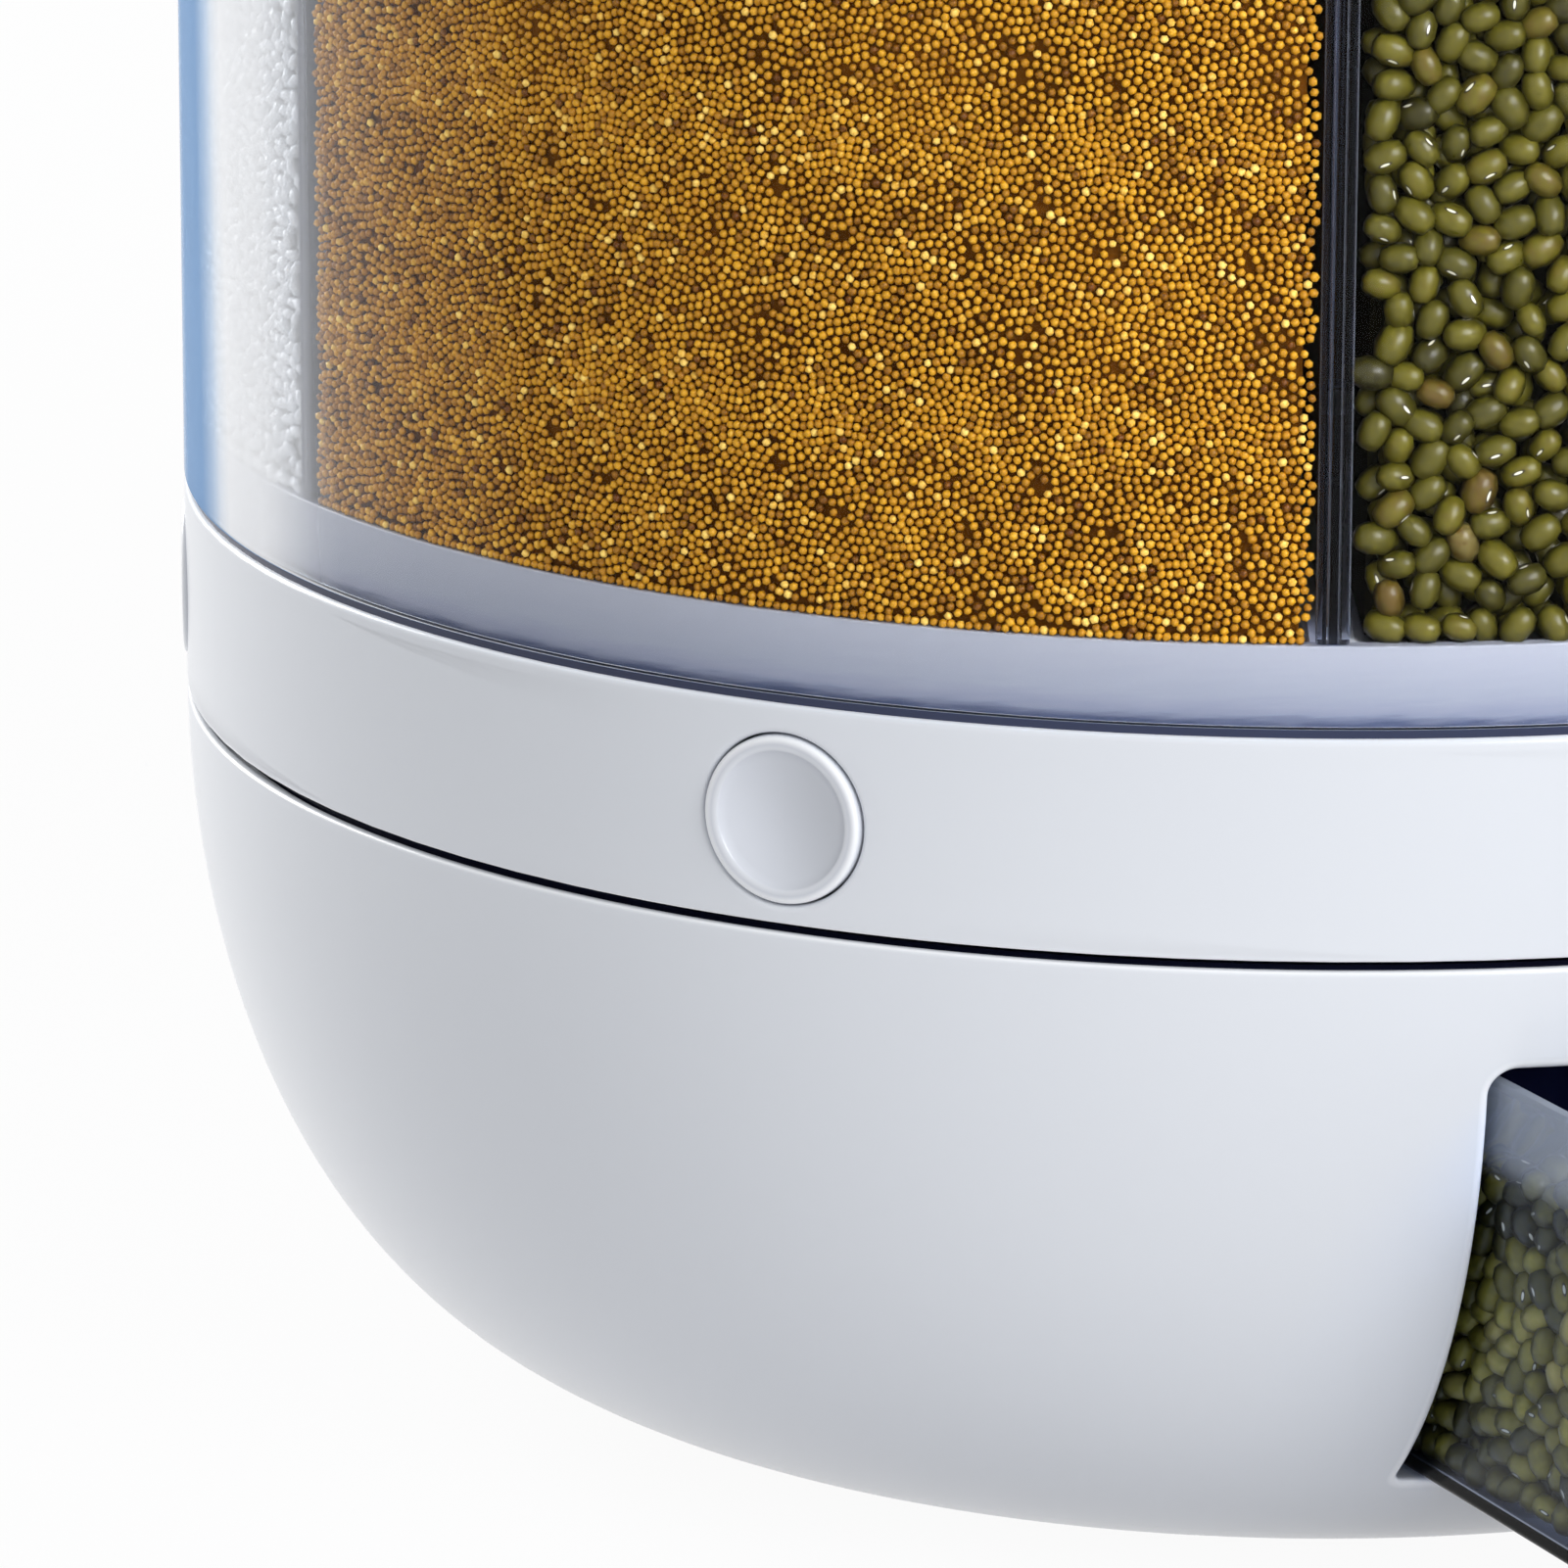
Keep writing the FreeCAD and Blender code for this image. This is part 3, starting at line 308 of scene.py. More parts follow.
def clearPlastic(name, tint, roughness, ior, clearness, heights=None, paintedTints=(), gloss=(), paintedRefraction=None,
                 grooveShadeColour=None):
    # clear body; shadow rays pass so that the contents are lit through it
    # clearness and the tints: transmission and a painted colour by steepness of the view, or by height where
    # heights is a pair
    # gloss: clear coat by steepness; then a matt colour by steepness, a painted refraction of the surroundings,
    # and a dark colour on marked edges, painted shade in the grooves
    material, tree, shader = startMaterial(name)
    steepness = steepnessOf(tree)
    place = steepness
    if heights:
        parts = addNode(tree, "SeparateXYZ", {0: objectPlace(tree)}).outputs
        place = rangeOf(tree, parts["Z"], source=heights)
    spread = (roughness * (1 - glass["hazeSpread"]), roughness * (1 + glass["hazeSpread"]))
    haze = noiseOf(tree, glass["hazeScale"])
    feed(tree, shader, {"Base Color": (*tint, 1), "Transmission Weight": 1.0, "IOR": ior,
                        "Roughness": rangeOf(tree, haze, spread)})
    # the plain values above stay under the ramps, for an export that doesn't follow links
    feed(tree, shader, {"Transmission Weight": greyRamp(tree, place, clearness)})
    if paintedTints:
        feed(tree, shader, {"Base Color": colourRamp(tree, place, paintedTints)})
    if gloss:
        feed(tree, shader, {"Coat Weight": greyRamp(tree, steepness, gloss), "Coat IOR": glass["glossIor"],
                            "Coat Roughness": glass["glossRoughness"]})
    surface = shader.outputs[0]
    if paintedRefraction:
        surface = mixInto(tree, surface, greyRamp(tree, steepness, paintedRefraction["shares"]), paintedRefraction["colour"])
    if grooveShadeColour:
        surface = mixInto(tree, surface, meshValue(tree, "paintedEdgeShare"), grooveShadeColour)
    shadow = addNode(tree, "LightPath").outputs["Is Shadow Ray"]
    clear = addNode(tree, "BsdfTransparent", {"Color": (*tint, 1)}).outputs[0]
    feed(tree, tree.nodes["Material Output"], {"Surface": mixSurfaces(tree, shadow, surface, clear)})
    return material


def zincSteel():
    material, tree, shader = startMaterial("zincSteel")
    stain = noiseOf(tree, 420, 4, 0.6)
    tone = colourRamp(tree, stain, [(0.3, (0.46, 0.47, 0.49)), (0.7, (0.62, 0.63, 0.64))])
    feed(tree, shader, {"Base Color": tone, "Metallic": 1.0, "Roughness": rangeOf(tree, stain, (0.28, 0.45))})
    return material


def grainMaterial(name, stops, roughness, skinScale, shine, eye=None, rimShade=None):
    # each grain has its own tone, a fine mottle and, on beans, a pale eye with a dark edge and a darker
    # outline, painted shade where the grain is seen side-on
    material, tree, shader = startMaterial(name)
    mottle = noiseOf(tree, skinScale, 3, 0.6)
    # tone + 0.5 * mottle - 0.25, so that the mottle goes both ways from the grain's own tone
    blend = mathOf(tree, "MULTIPLY_ADD", mottle, 0.5, meshValue(tree, "grainTone"))
    colour = colourRamp(tree, mathOf(tree, "SUBTRACT", blend, 0.25), stops)
    if eye:
        # the eye is an oval where the length of (x / long, y / wide, z - 1) on the unit grain is below 1
        space, size = meshValue(tree, "grainSpace", "Vector"), (1 / eye["long"], 1 / eye["wide"], 1.0)
        stretch = vectorOf(tree, "MULTIPLY_ADD", space, size, (0, 0, -1.0))["Vector"]
        length = vectorOf(tree, "LENGTH", stretch)["Value"]
        oval = colourRamp(tree, length, [(0.55, eye["pale"]), (0.72, eye["edge"]), (1.0, eye["edge"])])
        colour = mixColours(tree, rangeOf(tree, length, (1.0, 0.0), (0.95, 1.08)), colour, oval)
    if rimShade:
        # painted shade: the colour darkens where the grain is seen side-on
        outline = greyRamp(tree, steepnessOf(tree), [(0.12, 1), (0.75, rimShade)])
        colour = mixColours(tree, 1.0, colour, outline, "MULTIPLY")
    rough = rangeOf(tree, mottle, (roughness - 0.08, roughness + 0.1))
    feed(tree, shader, {"Base Color": colour, "Roughness": rough, "Specular IOR Level": shine})
    return material


def shadedCollar():
    # grey-white plastic seen through the barrel; its grey-blue, darker towards its foot in long slanting
    # streaks, is painted shade
    material, tree, shader = startMaterial("collarWhite")
    parts = addNode(tree, "SeparateXYZ", {0: objectPlace(tree)}).outputs
    bearing = mathOf(tree, "ARCTAN2", parts["X"], parts["Y"])
    lean = mathOf(tree, "MULTIPLY_ADD", parts["Z"], collar["streakLean"], bearing)
    place = addNode(tree, "CombineXYZ", {"X": lean, "Z": parts["Z"]}).outputs[0]
    streak = noiseOf(tree, 1.0, 2.0, 0.6, vectorOf(tree, "MULTIPLY", place, collar["streakPace"])["Vector"])
    rise = mathOf(tree, "MULTIPLY_ADD", streak, collar["streakRise"], parts["Z"])
    share = rangeOf(tree, rise, source=(collar["low"] * mm, collar["high"] * mm))
    feed(tree, shader, {"Base Color": colourRamp(tree, share, collar["tones"]), "Roughness": 0.4})
    return material


# painted highlight: a lighter tone along the rounded edges of the white parts
edgeHighlight = (0.97, 0.98, 1.0)
whitePlastic = mouldedPlastic("whitePlastic", (0.79, 0.81, 0.85), (0.775, 0.796, 0.838), (0.27, 0.30),
                              900, 0.000006, 0.25, 0.5, edgeHighlight)
# the buttons are the same white plastic drawn darker, painted shade in the dish
shadedButtonPlastic = mouldedPlastic("shadedButtonPlastic", (0.69, 0.71, 0.76), (0.675, 0.697, 0.75), (0.27, 0.30),
                               900, 0.000006, 0.25, 0.5, edgeHighlight)
navyPlastic = mouldedPlastic("navyPlastic", (0.009, 0.011, 0.036), (0.006, 0.007, 0.024), (0.30, 0.45),
                             700, 0.00004, 0.0, 0.12)
greyPlastic = mouldedPlastic("greyPlastic", (0.42, 0.44, 0.47), (0.38, 0.40, 0.44), (0.35, 0.5), 700, 0.00004)
bearingPlastic = mouldedPlastic("bearingPlastic", (0.72, 0.70, 0.64), (0.67, 0.65, 0.60), (0.25, 0.38),
                                600, 0.00003)
sealRubber = mouldedPlastic("sealRubber", (0.035, 0.045, 0.095), (0.022, 0.028, 0.065), (0.24, 0.38),
                            1200, 0.00004, 0.0, 0.3)
# the barrel's wall: blue towards its edge seen side-on, a painted refraction of the surroundings, and a pale,
# less clear band at a slant, a painted highlight
clearWall = clearPlastic(
    "clearWall", (0.985, 0.99, 1.0), 0.015, 1.1,
    [(0.31, 1.0), (0.43, 0.96), (0.52, 0.90), (0.58, 0.62), (0.66, 0.22), (0.76, 0.20), (0.97, 0.45)],
    paintedTints=[(0.74, (0.97, 0.98, 1.0)), (0.79, (0.62, 0.76, 0.93)), (0.84, (0.24, 0.42, 0.70)),
           (0.93, (0.22, 0.40, 0.68)), (1.0, (0.5, 0.65, 0.85))],
    gloss=[(0.56, 0.0), (0.64, 1.0), (0.75, 1.0), (0.79, 0.0)],
    paintedRefraction={"colour": (0.20, 0.37, 0.64), "shares": [(0.77, 0.0), (0.84, 0.68), (0.93, 0.76), (1.0, 0.35)]})
# the partitions: the marked groove rows take a dark colour, painted shade
clearSheet = clearPlastic("clearSheet", (0.70, 0.74, 0.86), 0.03, 1.18,
                          [(0.35, 1.0), (0.55, 0.85), (0.65, 0.90), (1.0, 0.95)], grooveShadeColour=(0.10, 0.11, 0.17))
# the cup's wall: dark at its foot, painted shade, and less clear in a band under the rim, a painted reflection
smokyWall = clearPlastic("smokyWall", (0.78, 0.85, 0.98), 0.05, 1.12,
                         [(0.0, 1.0), (0.78, 1.0), (0.85, 0.80), (1.0, 0.74)],
                         (0.020, 0.072), [(0.012, (0.05, 0.06, 0.09)), (0.028, (0.78, 0.85, 0.98))])
zinc = zincSteel()

beanEye = {"long": 0.34, "wide": 0.13, "pale": (0.80, 0.77, 0.62), "edge": (0.04, 0.03, 0.015)}
mungSkin = grainMaterial("mungSkin", [
    (0.0, (0.025, 0.021, 0.003)), (0.3, (0.072, 0.062, 0.005)), (0.65, (0.125, 0.106, 0.007)),
    (0.9, (0.105, 0.060, 0.008)), (1.0, (0.16, 0.12, 0.03))], 0.30, 900, 0.35, beanEye, 0.30)
# the cup's beans: a brighter copy of mungSkin, painted light
litCupMungSkin = grainMaterial("litCupMungSkin", [
    (0.0, (0.018, 0.016, 0.004)), (0.3, (0.075, 0.066, 0.010)), (0.6, (0.19, 0.160, 0.018)),
    (0.85, (0.34, 0.29, 0.045)), (1.0, (0.42, 0.34, 0.09))], 0.32, 900, 0.35, beanEye, 0.35)
milletSkin = grainMaterial("milletSkin", [
    (0.0, (0.12, 0.036, 0.001)), (0.35, (0.42, 0.185, 0.006)), (0.75, (0.63, 0.315, 0.013)),
    (1.0, (0.90, 0.62, 0.14))], 0.40, 2500, 0.25)
riceSkin = grainMaterial("riceSkin", [
    (0.0, (0.56, 0.59, 0.62)), (0.5, (0.71, 0.73, 0.76)), (1.0, (0.80, 0.82, 0.84))], 0.35, 1500, 0.5)
# what shows between the outer grains
milletShade = mouldedPlastic("milletShade", (0.130, 0.045, 0.003), (0.090, 0.028, 0.002), (0.7, 0.9),
                             900, 0.0004, 0.0, 0.0)
mungShade = mouldedPlastic("mungShade", (0.008, 0.007, 0.002), (0.004, 0.004, 0.002), (0.7, 0.9),
                           900, 0.0004, 0.0, 0.0)
riceShade = mouldedPlastic("riceShade", (0.55, 0.56, 0.58), (0.45, 0.46, 0.48), (0.6, 0.8), 900, 0.0004)
print("materials ready")


bowl = {
    "rimRadius": 140.0, "footRadius": 83.1, "rimHeight": 86.25, "footHeight": 2.0, "sidePower": 2.274,
    "basePower": 1.978, "wall": 3.0, "floorHeight": 8.5, "rimRound": 0.7, "rebateStart": 0.95,
    "rebateFall": 0.1, "rebateShare": 1.0, "plateRadius": 79.0, "plateHeight": 4.4, "openingRadius": 68.0,
    "patchBearing": 38.0, "patchTop": 3.0, "patchFoot": 80.0, "patchRows": 14, "patchPower": 1.4,
    "restSteps": 190, "sharp": 40,
    # the shares on the lip and rim rows are a painted highlight on the rounded edges
    "lipHighlight": [0, 0.6, 1, 1, 1, 0.7, 0.3, 0, 0], "rimHighlight": [0, 0, 0.3, 1, 1, 0.5, 0, 0, 0, 0],
}
recess = {"floorHalf": 50.8, "topHalf": 52.8, "floor": 18.7, "top": 74.2, "floorRound": 1.2, "topRound": 3.0,
          "lip": 1.5, "lipDepth": 1.3, "arcSteps": 10, "sideSteps": 26}


def bowlBottom(inset):
    return bowl["footHeight"] if inset == 0 else bowl["floorHeight"]


def bowlRadius(share, inset):
    # superellipse: the radius falls from rim to foot with cos(share)^(2 / sidePower)
    rim, foot = bowl["rimRadius"] - inset, bowl["footRadius"] - inset / 2
    return foot + (rim - foot) * np.clip(np.cos(np.radians(share)), 0, 1) ** (2 / bowl["sidePower"])


def bowlAt(bearing, share, inset):
    # the height falls from rim to foot with sin(share)^(2 / basePower)
    fall = np.clip(np.sin(np.radians(share)), 0, 1) ** (2 / bowl["basePower"])
    height = bowl["rimHeight"] - (bowl["rimHeight"] - bowlBottom(inset)) * fall
    return onBearing(bowlRadius(share, inset), bearing, height)


def bowlShare(x, z, inset):
    # the bearing and share whose point on the bowl shows at x and z from the front
    down = np.clip((bowl["rimHeight"] - z) / (bowl["rimHeight"] - bowlBottom(inset)), 0, 1)
    share = np.degrees(np.arcsin(down ** (bowl["basePower"] / 2)))
    return np.stack([np.degrees(np.arcsin(x / bowlRadius(share, inset))), share], axis=-1)


def recessOutline(grow):
    floorHalf, topHalf = recess["floorHalf"] + grow, recess["topHalf"] + grow
    floor, top = recess["floor"] - grow, recess["top"] + grow
    corners = [(-floorHalf, floor), (floorHalf, floor), (topHalf, top), (-topHalf, top)]
    radii = [recess["floorRound"] + grow] * 2 + [recess["topRound"] + grow] * 2
    return roundedOutline(corners, radii, recess["arcSteps"], recess["sideSteps"])


def bowlBody():
    b = bowl
    side, patchTop, patchFoot, wall = b["patchBearing"], b["patchTop"], b["patchFoot"], b["wall"]
    box, along = boxOutline((-side, patchFoot), (side, patchTop), recess["arcSteps"], recess["sideSteps"])
    restBearings = np.linspace(side, 360 - side, b["restSteps"] + 1)
    bearings = np.concatenate([-side + 2 * side * along, restBearings])
    sideShares = np.sort(np.append(patchFoot + (patchTop - patchFoot) * along, patchTop))
    rows = np.linspace(0, 1, b["patchRows"] + 1)[:, None, None] ** b["patchPower"]
    grids = []
    edges = {}
    for inset, grow in ((0.0, recess["lip"]), (wall, 0.0)):
        outline = recessOutline(grow)
        inner = bowlShare(outline[:, 0], outline[:, 1], inset)
        patch = inner[None] * (1 - rows) + box[None] * rows
        grids.append(closeLoop(bowlAt(patch[..., 0], patch[..., 1], inset)))
        edges[inset] = bowlAt(inner[:, 0], inner[:, 1], inset)
        grids.append(bowlAt(restBearings[None, :], sideShares[:, None], inset))
        grids.append(bowlAt(bearings[None, :], np.linspace(patchFoot, 90, 12)[:, None], inset))
    # lip of the recess: off the bowl's face, round the edge, then straight back to the inner face
    plain = recessOutline(0.0)
    share = bowlShare(plain[:, 0], plain[:, 1], 0.0)
    corner = bowlAt(share[:, 0], share[:, 1], 0.0)
    back = corner + np.array([0, recess["lip"] * recess["lipDepth"], 0])
    lip = roundCorner(edges[0.0], corner, back, 7)
    # the lip's rounded edge takes a painted highlight
    paintedEdges = {len(grids): b["lipHighlight"]}
    grids.append(closeLoop(np.concatenate([lip, edges[wall][None]])))
    # rim: outer side, rounded edge, then a rebate that drops to the deck, so that the running gap looks deep
    rim, top, bend = b["rimRadius"], b["rimHeight"], b["rimRound"]
    startShare = bowlShare(np.array([0.0]), np.array([top - bend]), 0.0)[0, 1]
    grids.append(bowlAt(bearings[None, :], np.linspace(startShare, patchTop, 5)[:, None], 0.0))
    outerStart = bowlAt(np.array([0.0]), np.array([startShare]), 0.0)[0]
    edge = roundCorner((-outerStart[1], outerStart[2]), (rim, top), (rim - bend, top), 6)
    drop = bowlAt(np.array([0.0]), np.array([b["rebateShare"]]), wall)[0]
    rebate = rim - b["rebateStart"]
    # the rim's rounded edge takes a painted highlight
    paintedEdges[len(grids)] = b["rimHighlight"]
    profile = np.concatenate([edge, [(rebate, top), (rebate - b["rebateFall"], drop[2]), (-drop[1], drop[2])]])
    grids.append(latheGrid(profile, bearings))
    grids.append(bowlAt(bearings[None, :], np.linspace(b["rebateShare"], patchTop, 4)[:, None], wall))
    # foot: the step that the bottom plate is let into
    foot, plate, floor = b["footHeight"], b["plateHeight"], b["floorHeight"]
    grids.append(latheGrid([(b["footRadius"], foot), (b["plateRadius"], foot), (b["plateRadius"], plate),
                            (b["openingRadius"], plate), (b["openingRadius"], floor),
                            (b["footRadius"] - wall / 2, floor)], bearings))
    return shellMesh(grids, b["sharp"], paintedEdges)


addPiece("bowlBody", bowlBody(), whitePlastic, "base", ["bowl_shell"])
print("bowl made")


ring = {
    "radius": 140.0, "wall": 2.6, "low": 87.35, "high": 113.1, "footRound": 0.5, "topRound": 0.9,
    "ledgeRadius": 124.0, "ledgeRound": 0.4, "ledge": 2.0, "holeRadius": 10.1, "mouth": 0.75,
    "buttonBearing": 3.91, "buttonHeight": 99.6, "sleeveRadius": 11.95, "sleeveEnd": 131.0, "patchLow": 88.0,
    "patchHigh": 111.6, "patchRows": 10, "patchPower": 1.3, "patchShare": 0.3, "arcSteps": 10, "sideSteps": 14,
    "innerLow": 87.4, "innerHigh": 111.05, "sharp": 40,
    # the shares on the top and foot rows are a painted highlight on the rounded edges
    "topHighlight": [0] * 5 + [0.5, 1, 1, 1, 0.3] + [0] * 5, "footHighlight": [0, 0, 0.3, 1, 1, 0.5, 0, 0, 0],
}
button = {
    "radius": 9.85, "face": 140.35, "rim": 1.25, "rimRound": 0.75, "roll": 0.6, "rollStart": 0.1,
    "rollEnd": 0.25, "step": 0.3, "dish": 2.2, "wall": 1.2, "flangeRadius": 11.0, "flangeFace": 130.8,
    "flangeBack": 129.2,
    "rod": 2.4, "rodHead": 2.9, "rodShoulder": 112.0, "rodEnd": 110.2, "turnSteps": 72, "sharp": 40,
    # the shares on the rim's roll and edge are a painted highlight
    "paintedEdges": [0] * 10 + [0.2, 0.3, 0.2, 0, 0.4, 0.9, 1, 0.7, 0.3, 0] + [0] * 10,
}
sector = 60


def circleOutline(radius, arcSteps, sideSteps):
    # a circle walked from its lower left, with as many points as a rectangle's outline of the same steps
    count = 4 * (arcSteps + sideSteps + 1)
    angle = np.radians(-135 + np.arange(count) * 360.0 / count)
    return np.stack([radius * np.cos(angle), radius * np.sin(angle)], axis=-1)


def onCylinder(across, height, radius, middle):
    # a point that shows at that distance across from the button's axis, on the round wall
    return onBearing(radius, middle + np.degrees(np.arcsin(across / radius)), ring["buttonHeight"] + height)


def alongAxis(across, height, depth, middle):
    # across, up and out along the button's own axis
    angle = math.radians(middle)
    x = depth * math.sin(angle) + across * math.cos(angle)
    y = -depth * math.cos(angle) + across * math.sin(angle)
    return np.stack(np.broadcast_arrays(x, y, ring["buttonHeight"] + height), axis=-1)


def ringPatch(radius, holeRadius, low, high, middle):
    # a sixth of the round wall with a round hole in it: rows run from the hole's circle to the sector's edge
    steps = (ring["arcSteps"], ring["sideSteps"])
    circle = circleOutline(holeRadius, *steps)
    corners = ((-sector / 2, low - ring["buttonHeight"]), (sector / 2, high - ring["buttonHeight"]))
    box, along = boxOutline(*corners, *steps, ring["patchShare"])
    hole = np.stack([np.degrees(np.arcsin(circle[:, 0] / radius)), circle[:, 1]], axis=-1)
    rows = np.linspace(0, 1, ring["patchRows"] + 1)[:, None, None] ** ring["patchPower"]
    patch = hole[None] * (1 - rows) + box[None] * rows
    grid = onBearing(radius, middle + patch[..., 0], ring["buttonHeight"] + patch[..., 1])
    return closeLoop(grid), np.append(along, 1.0)


def ringBody():
    r = ring
    radius, low, high, mouth = r["radius"], r["low"], r["high"], r["mouth"]
    inner = radius - r["wall"]
    middles = [r["buttonBearing"] + index * sector for index in range(6)]
    steps = (r["arcSteps"], r["sideSteps"])
    sizes = (r["holeRadius"] + mouth, r["holeRadius"], r["sleeveRadius"])
    wide, hole, sleeve = (circleOutline(size, *steps).T for size in sizes)
    depth = np.sqrt(radius ** 2 - hole[0] ** 2) - mouth
    grids = []
    for middle in middles:
        outer, spread = ringPatch(radius, r["holeRadius"] + mouth, r["patchLow"], r["patchHigh"], middle)
        grids += [outer, ringPatch(inner, r["sleeveRadius"], r["innerLow"], r["innerHigh"], middle)[0]]
        # the hole's rounded mouth, its bore, and back over the sleeve to the wall
        lip = roundCorner(onCylinder(*wide, radius, middle), onCylinder(*hole, radius, middle),
                          alongAxis(*hole, depth, middle), 6)
        bore, sleeveEnd = (alongAxis(*circle, r["sleeveEnd"], middle) for circle in (hole, sleeve))
        sleeveRoot = onCylinder(*sleeve, inner, middle)
        grids.append(closeLoop(np.concatenate([lip, bore[None], sleeveEnd[None], sleeveRoot[None]])))
    bearings = np.concatenate([middle - sector / 2 + sector * spread[:-1] for middle in middles])
    bearings = np.append(bearings, bearings[0] + 360)
    foot, top, ledge, bend = r["footRound"], r["topRound"], r["ledgeRadius"], r["ledgeRound"]
    outerTop = np.concatenate([[(radius, r["patchHigh"])],
                               roundCorner((radius, high - top), (radius, high), (radius - top, high), 8),
                               [(ledge + bend, high), (ledge, high - bend), (ledge, high - r["ledge"]),
                                (inner, high - r["ledge"]), (inner, r["innerHigh"])]])
    outerFoot = np.concatenate([[(radius, r["patchLow"])],
                                roundCorner((radius, low + foot), (radius, low), (radius - foot, low), 5),
                                [(inner, low), (inner, r["innerLow"])]])
    # painted highlight on the rounded top and foot edges
    paintedEdges = {len(grids): r["topHighlight"], len(grids) + 1: r["footHighlight"]}
    grids += [latheGrid(outerTop, bearings), latheGrid(outerFoot, bearings)]
    return shellMesh(grids, r["sharp"], paintedEdges)


def buttonMesh(middle):
    # half section (distance from the button's axis, distance from the drum's axis) spun round the button's axis
    b = button
    radius, face, rim = b["radius"], b["face"], b["radius"] - b["rim"]
    inward = np.linspace(0, 1, 9)[:, None]
    well = rim - b["roll"]
    dishDepth = face - b["step"] - (b["dish"] - b["step"]) * (1 - (1 - inward) ** 2)
    dishLine = np.concatenate([well * (1 - inward), dishDepth], axis=1)
    roll = roundCorner((well, face - b["step"]), (well + b["rollStart"], face),
                       (rim + b["rollEnd"], face), 5)[1:]
    edge = roundCorner((radius - b["rimRound"], face), (radius, face), (radius, face - b["rimRound"]), 5)
    roof = face - b["dish"] - b["wall"]
    bore = radius - b["wall"]
    flange, front, back = b["flangeRadius"], b["flangeFace"], b["flangeBack"]
    rod, head, shoulder, end = b["rod"], b["rodHead"], b["rodShoulder"], b["rodEnd"]
    section = np.concatenate([dishLine[::-1], roll, edge, [
        (radius, front), (flange, front), (flange, back), (bore, back), (bore, roof),
        (rod, roof), (rod, shoulder), (head, shoulder), (head, end), (0, end)]])
    turn = np.radians(fullTurn(b["turnSteps"]))[None, :]
    across, up = section[:, :1] * np.cos(turn), section[:, :1] * np.sin(turn)
    skin = alongAxis(across, up, np.broadcast_to(section[:, 1:], across.shape), middle)
    return shellMesh([skin], b["sharp"], {0: b["paintedEdges"]})


spring = {"radius": 4.2, "wire": 0.4, "seat": 117.6, "end": 136.85, "turns": 7, "turnSteps": 28,
          "endPitch": 2.2, "pressedShare": 0.5, "sharp": 60}


def springCoil(middle):
    # a helix of round wire that lies closer at both ends, where it bears on the seat and on the button
    s = spring
    wire, last = s["wire"], s["turns"]
    turns = np.linspace(0, last, last * s["turnSteps"] + 1)
    length = s["end"] - s["seat"] - 2 * wire
    endShare = s["endPitch"] * wire / length
    depth = s["seat"] + wire + length * np.interp(turns, [0, 1, last - 1, last], [0, endShare, 1 - endShare, 1])
    around = np.radians(fullTurn(8))[None, :]
    angle = 2 * np.pi * turns[:, None]
    reach = s["radius"] + wire * np.cos(around)
    depth = depth[:, None] + wire * np.sin(around)
    tube = alongAxis(reach * np.cos(angle), reach * np.sin(angle), depth, middle)
    ends = [np.broadcast_to(tube[k, :-1].mean(0), tube[:1].shape) for k in (0, -1)]
    return shellMesh([np.concatenate([ends[0], tube, ends[1]])], s["sharp"])


addPiece("ringBody", ringBody(), whitePlastic, "drum", ["button_ring"])
for index in range(6):
    number = str(index + 1)
    middle = ring["buttonBearing"] + index * sector
    addPiece("pushButton" + number, buttonMesh(middle), shadedButtonPlastic, "shutter_" + number,
             ["button_" + number])
    coil = addPiece("springCoil" + number, springCoil(middle), zinc, "drum",
                    ["button_spring_" + number])
    seat = alongAxis(0.0, 0.0, spring["seat"], middle)
    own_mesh(coil)
print("ring and buttons made")


barrel = {"low": 114.1, "high": 283.1, "radius": 140.0, "draft": 0.8, "wall": 2.4, "edge": 0.6,
          "insideEdge": 0.3, "turnSteps": 288, "sharp": 40}
# collar tones: painted shade, navy at the foot to grey-blue at the top
collar = {"outer": 137.38, "inner": 135.32, "low": 113.12, "high": 123.26, "round": 0.3,
          "tones": [(0.0, (0.04, 0.055, 0.11)), (0.22, (0.07, 0.09, 0.17)), (0.33, (0.21, 0.23, 0.31)),
                    (0.55, (0.27, 0.29, 0.35)), (1.0, (0.33, 0.345, 0.40))],
          "streakLean": 30.0, "streakPace": (16.0, 1.0, 900.0), "streakRise": 0.0024}
lid = {"low": 283.4, "high": 314.4, "shoulder": 15.0, "crown": 4.0, "wall": 2.4, "wellRadius": 33.0,
       "wellDepth": 7.0, "bore": 24.0, "edge": 0.7, "footEdge": 0.5}


def turned(profile):
    return shellMesh([latheGrid(profile, fullTurn(barrel["turnSteps"]))], barrel["sharp"])


def barrelWall():
    b = barrel
    low, high, edge, bend = b["low"], b["high"], b["edge"], b["insideEdge"]
    foot, top = b["radius"], b["radius"] - b["draft"]
    footInside, topInside = foot - b["wall"], top - b["wall"]
    return turned(np.concatenate([
        roundCorner((foot - edge, low), (foot, low), (foot, low + edge), 4),
        roundCorner((top, high - edge), (top, high), (top - edge, high), 4),
        roundCorner((topInside + bend, high), (topInside, high), (topInside, high - bend), 3),
        roundCorner((footInside, low + bend), (footInside, low), (footInside + bend, low), 3),
        [(foot - edge, low)],
    ]))


def innerWallRadius(height):
    share = (height - barrel["low"]) / (barrel["high"] - barrel["low"])
    return barrel["radius"] - barrel["wall"] - barrel["draft"] * share


def collarSkin():
    outer, inner, low, high, bend = (collar[key] for key in ("outer", "inner", "low", "high", "round"))
    return turned(np.concatenate([
        [(outer, low)],
        roundCorner((outer, high - bend), (outer, high), (outer - bend, high), 5),
        [(inner, high), (inner, low), (outer, low)],
    ]))


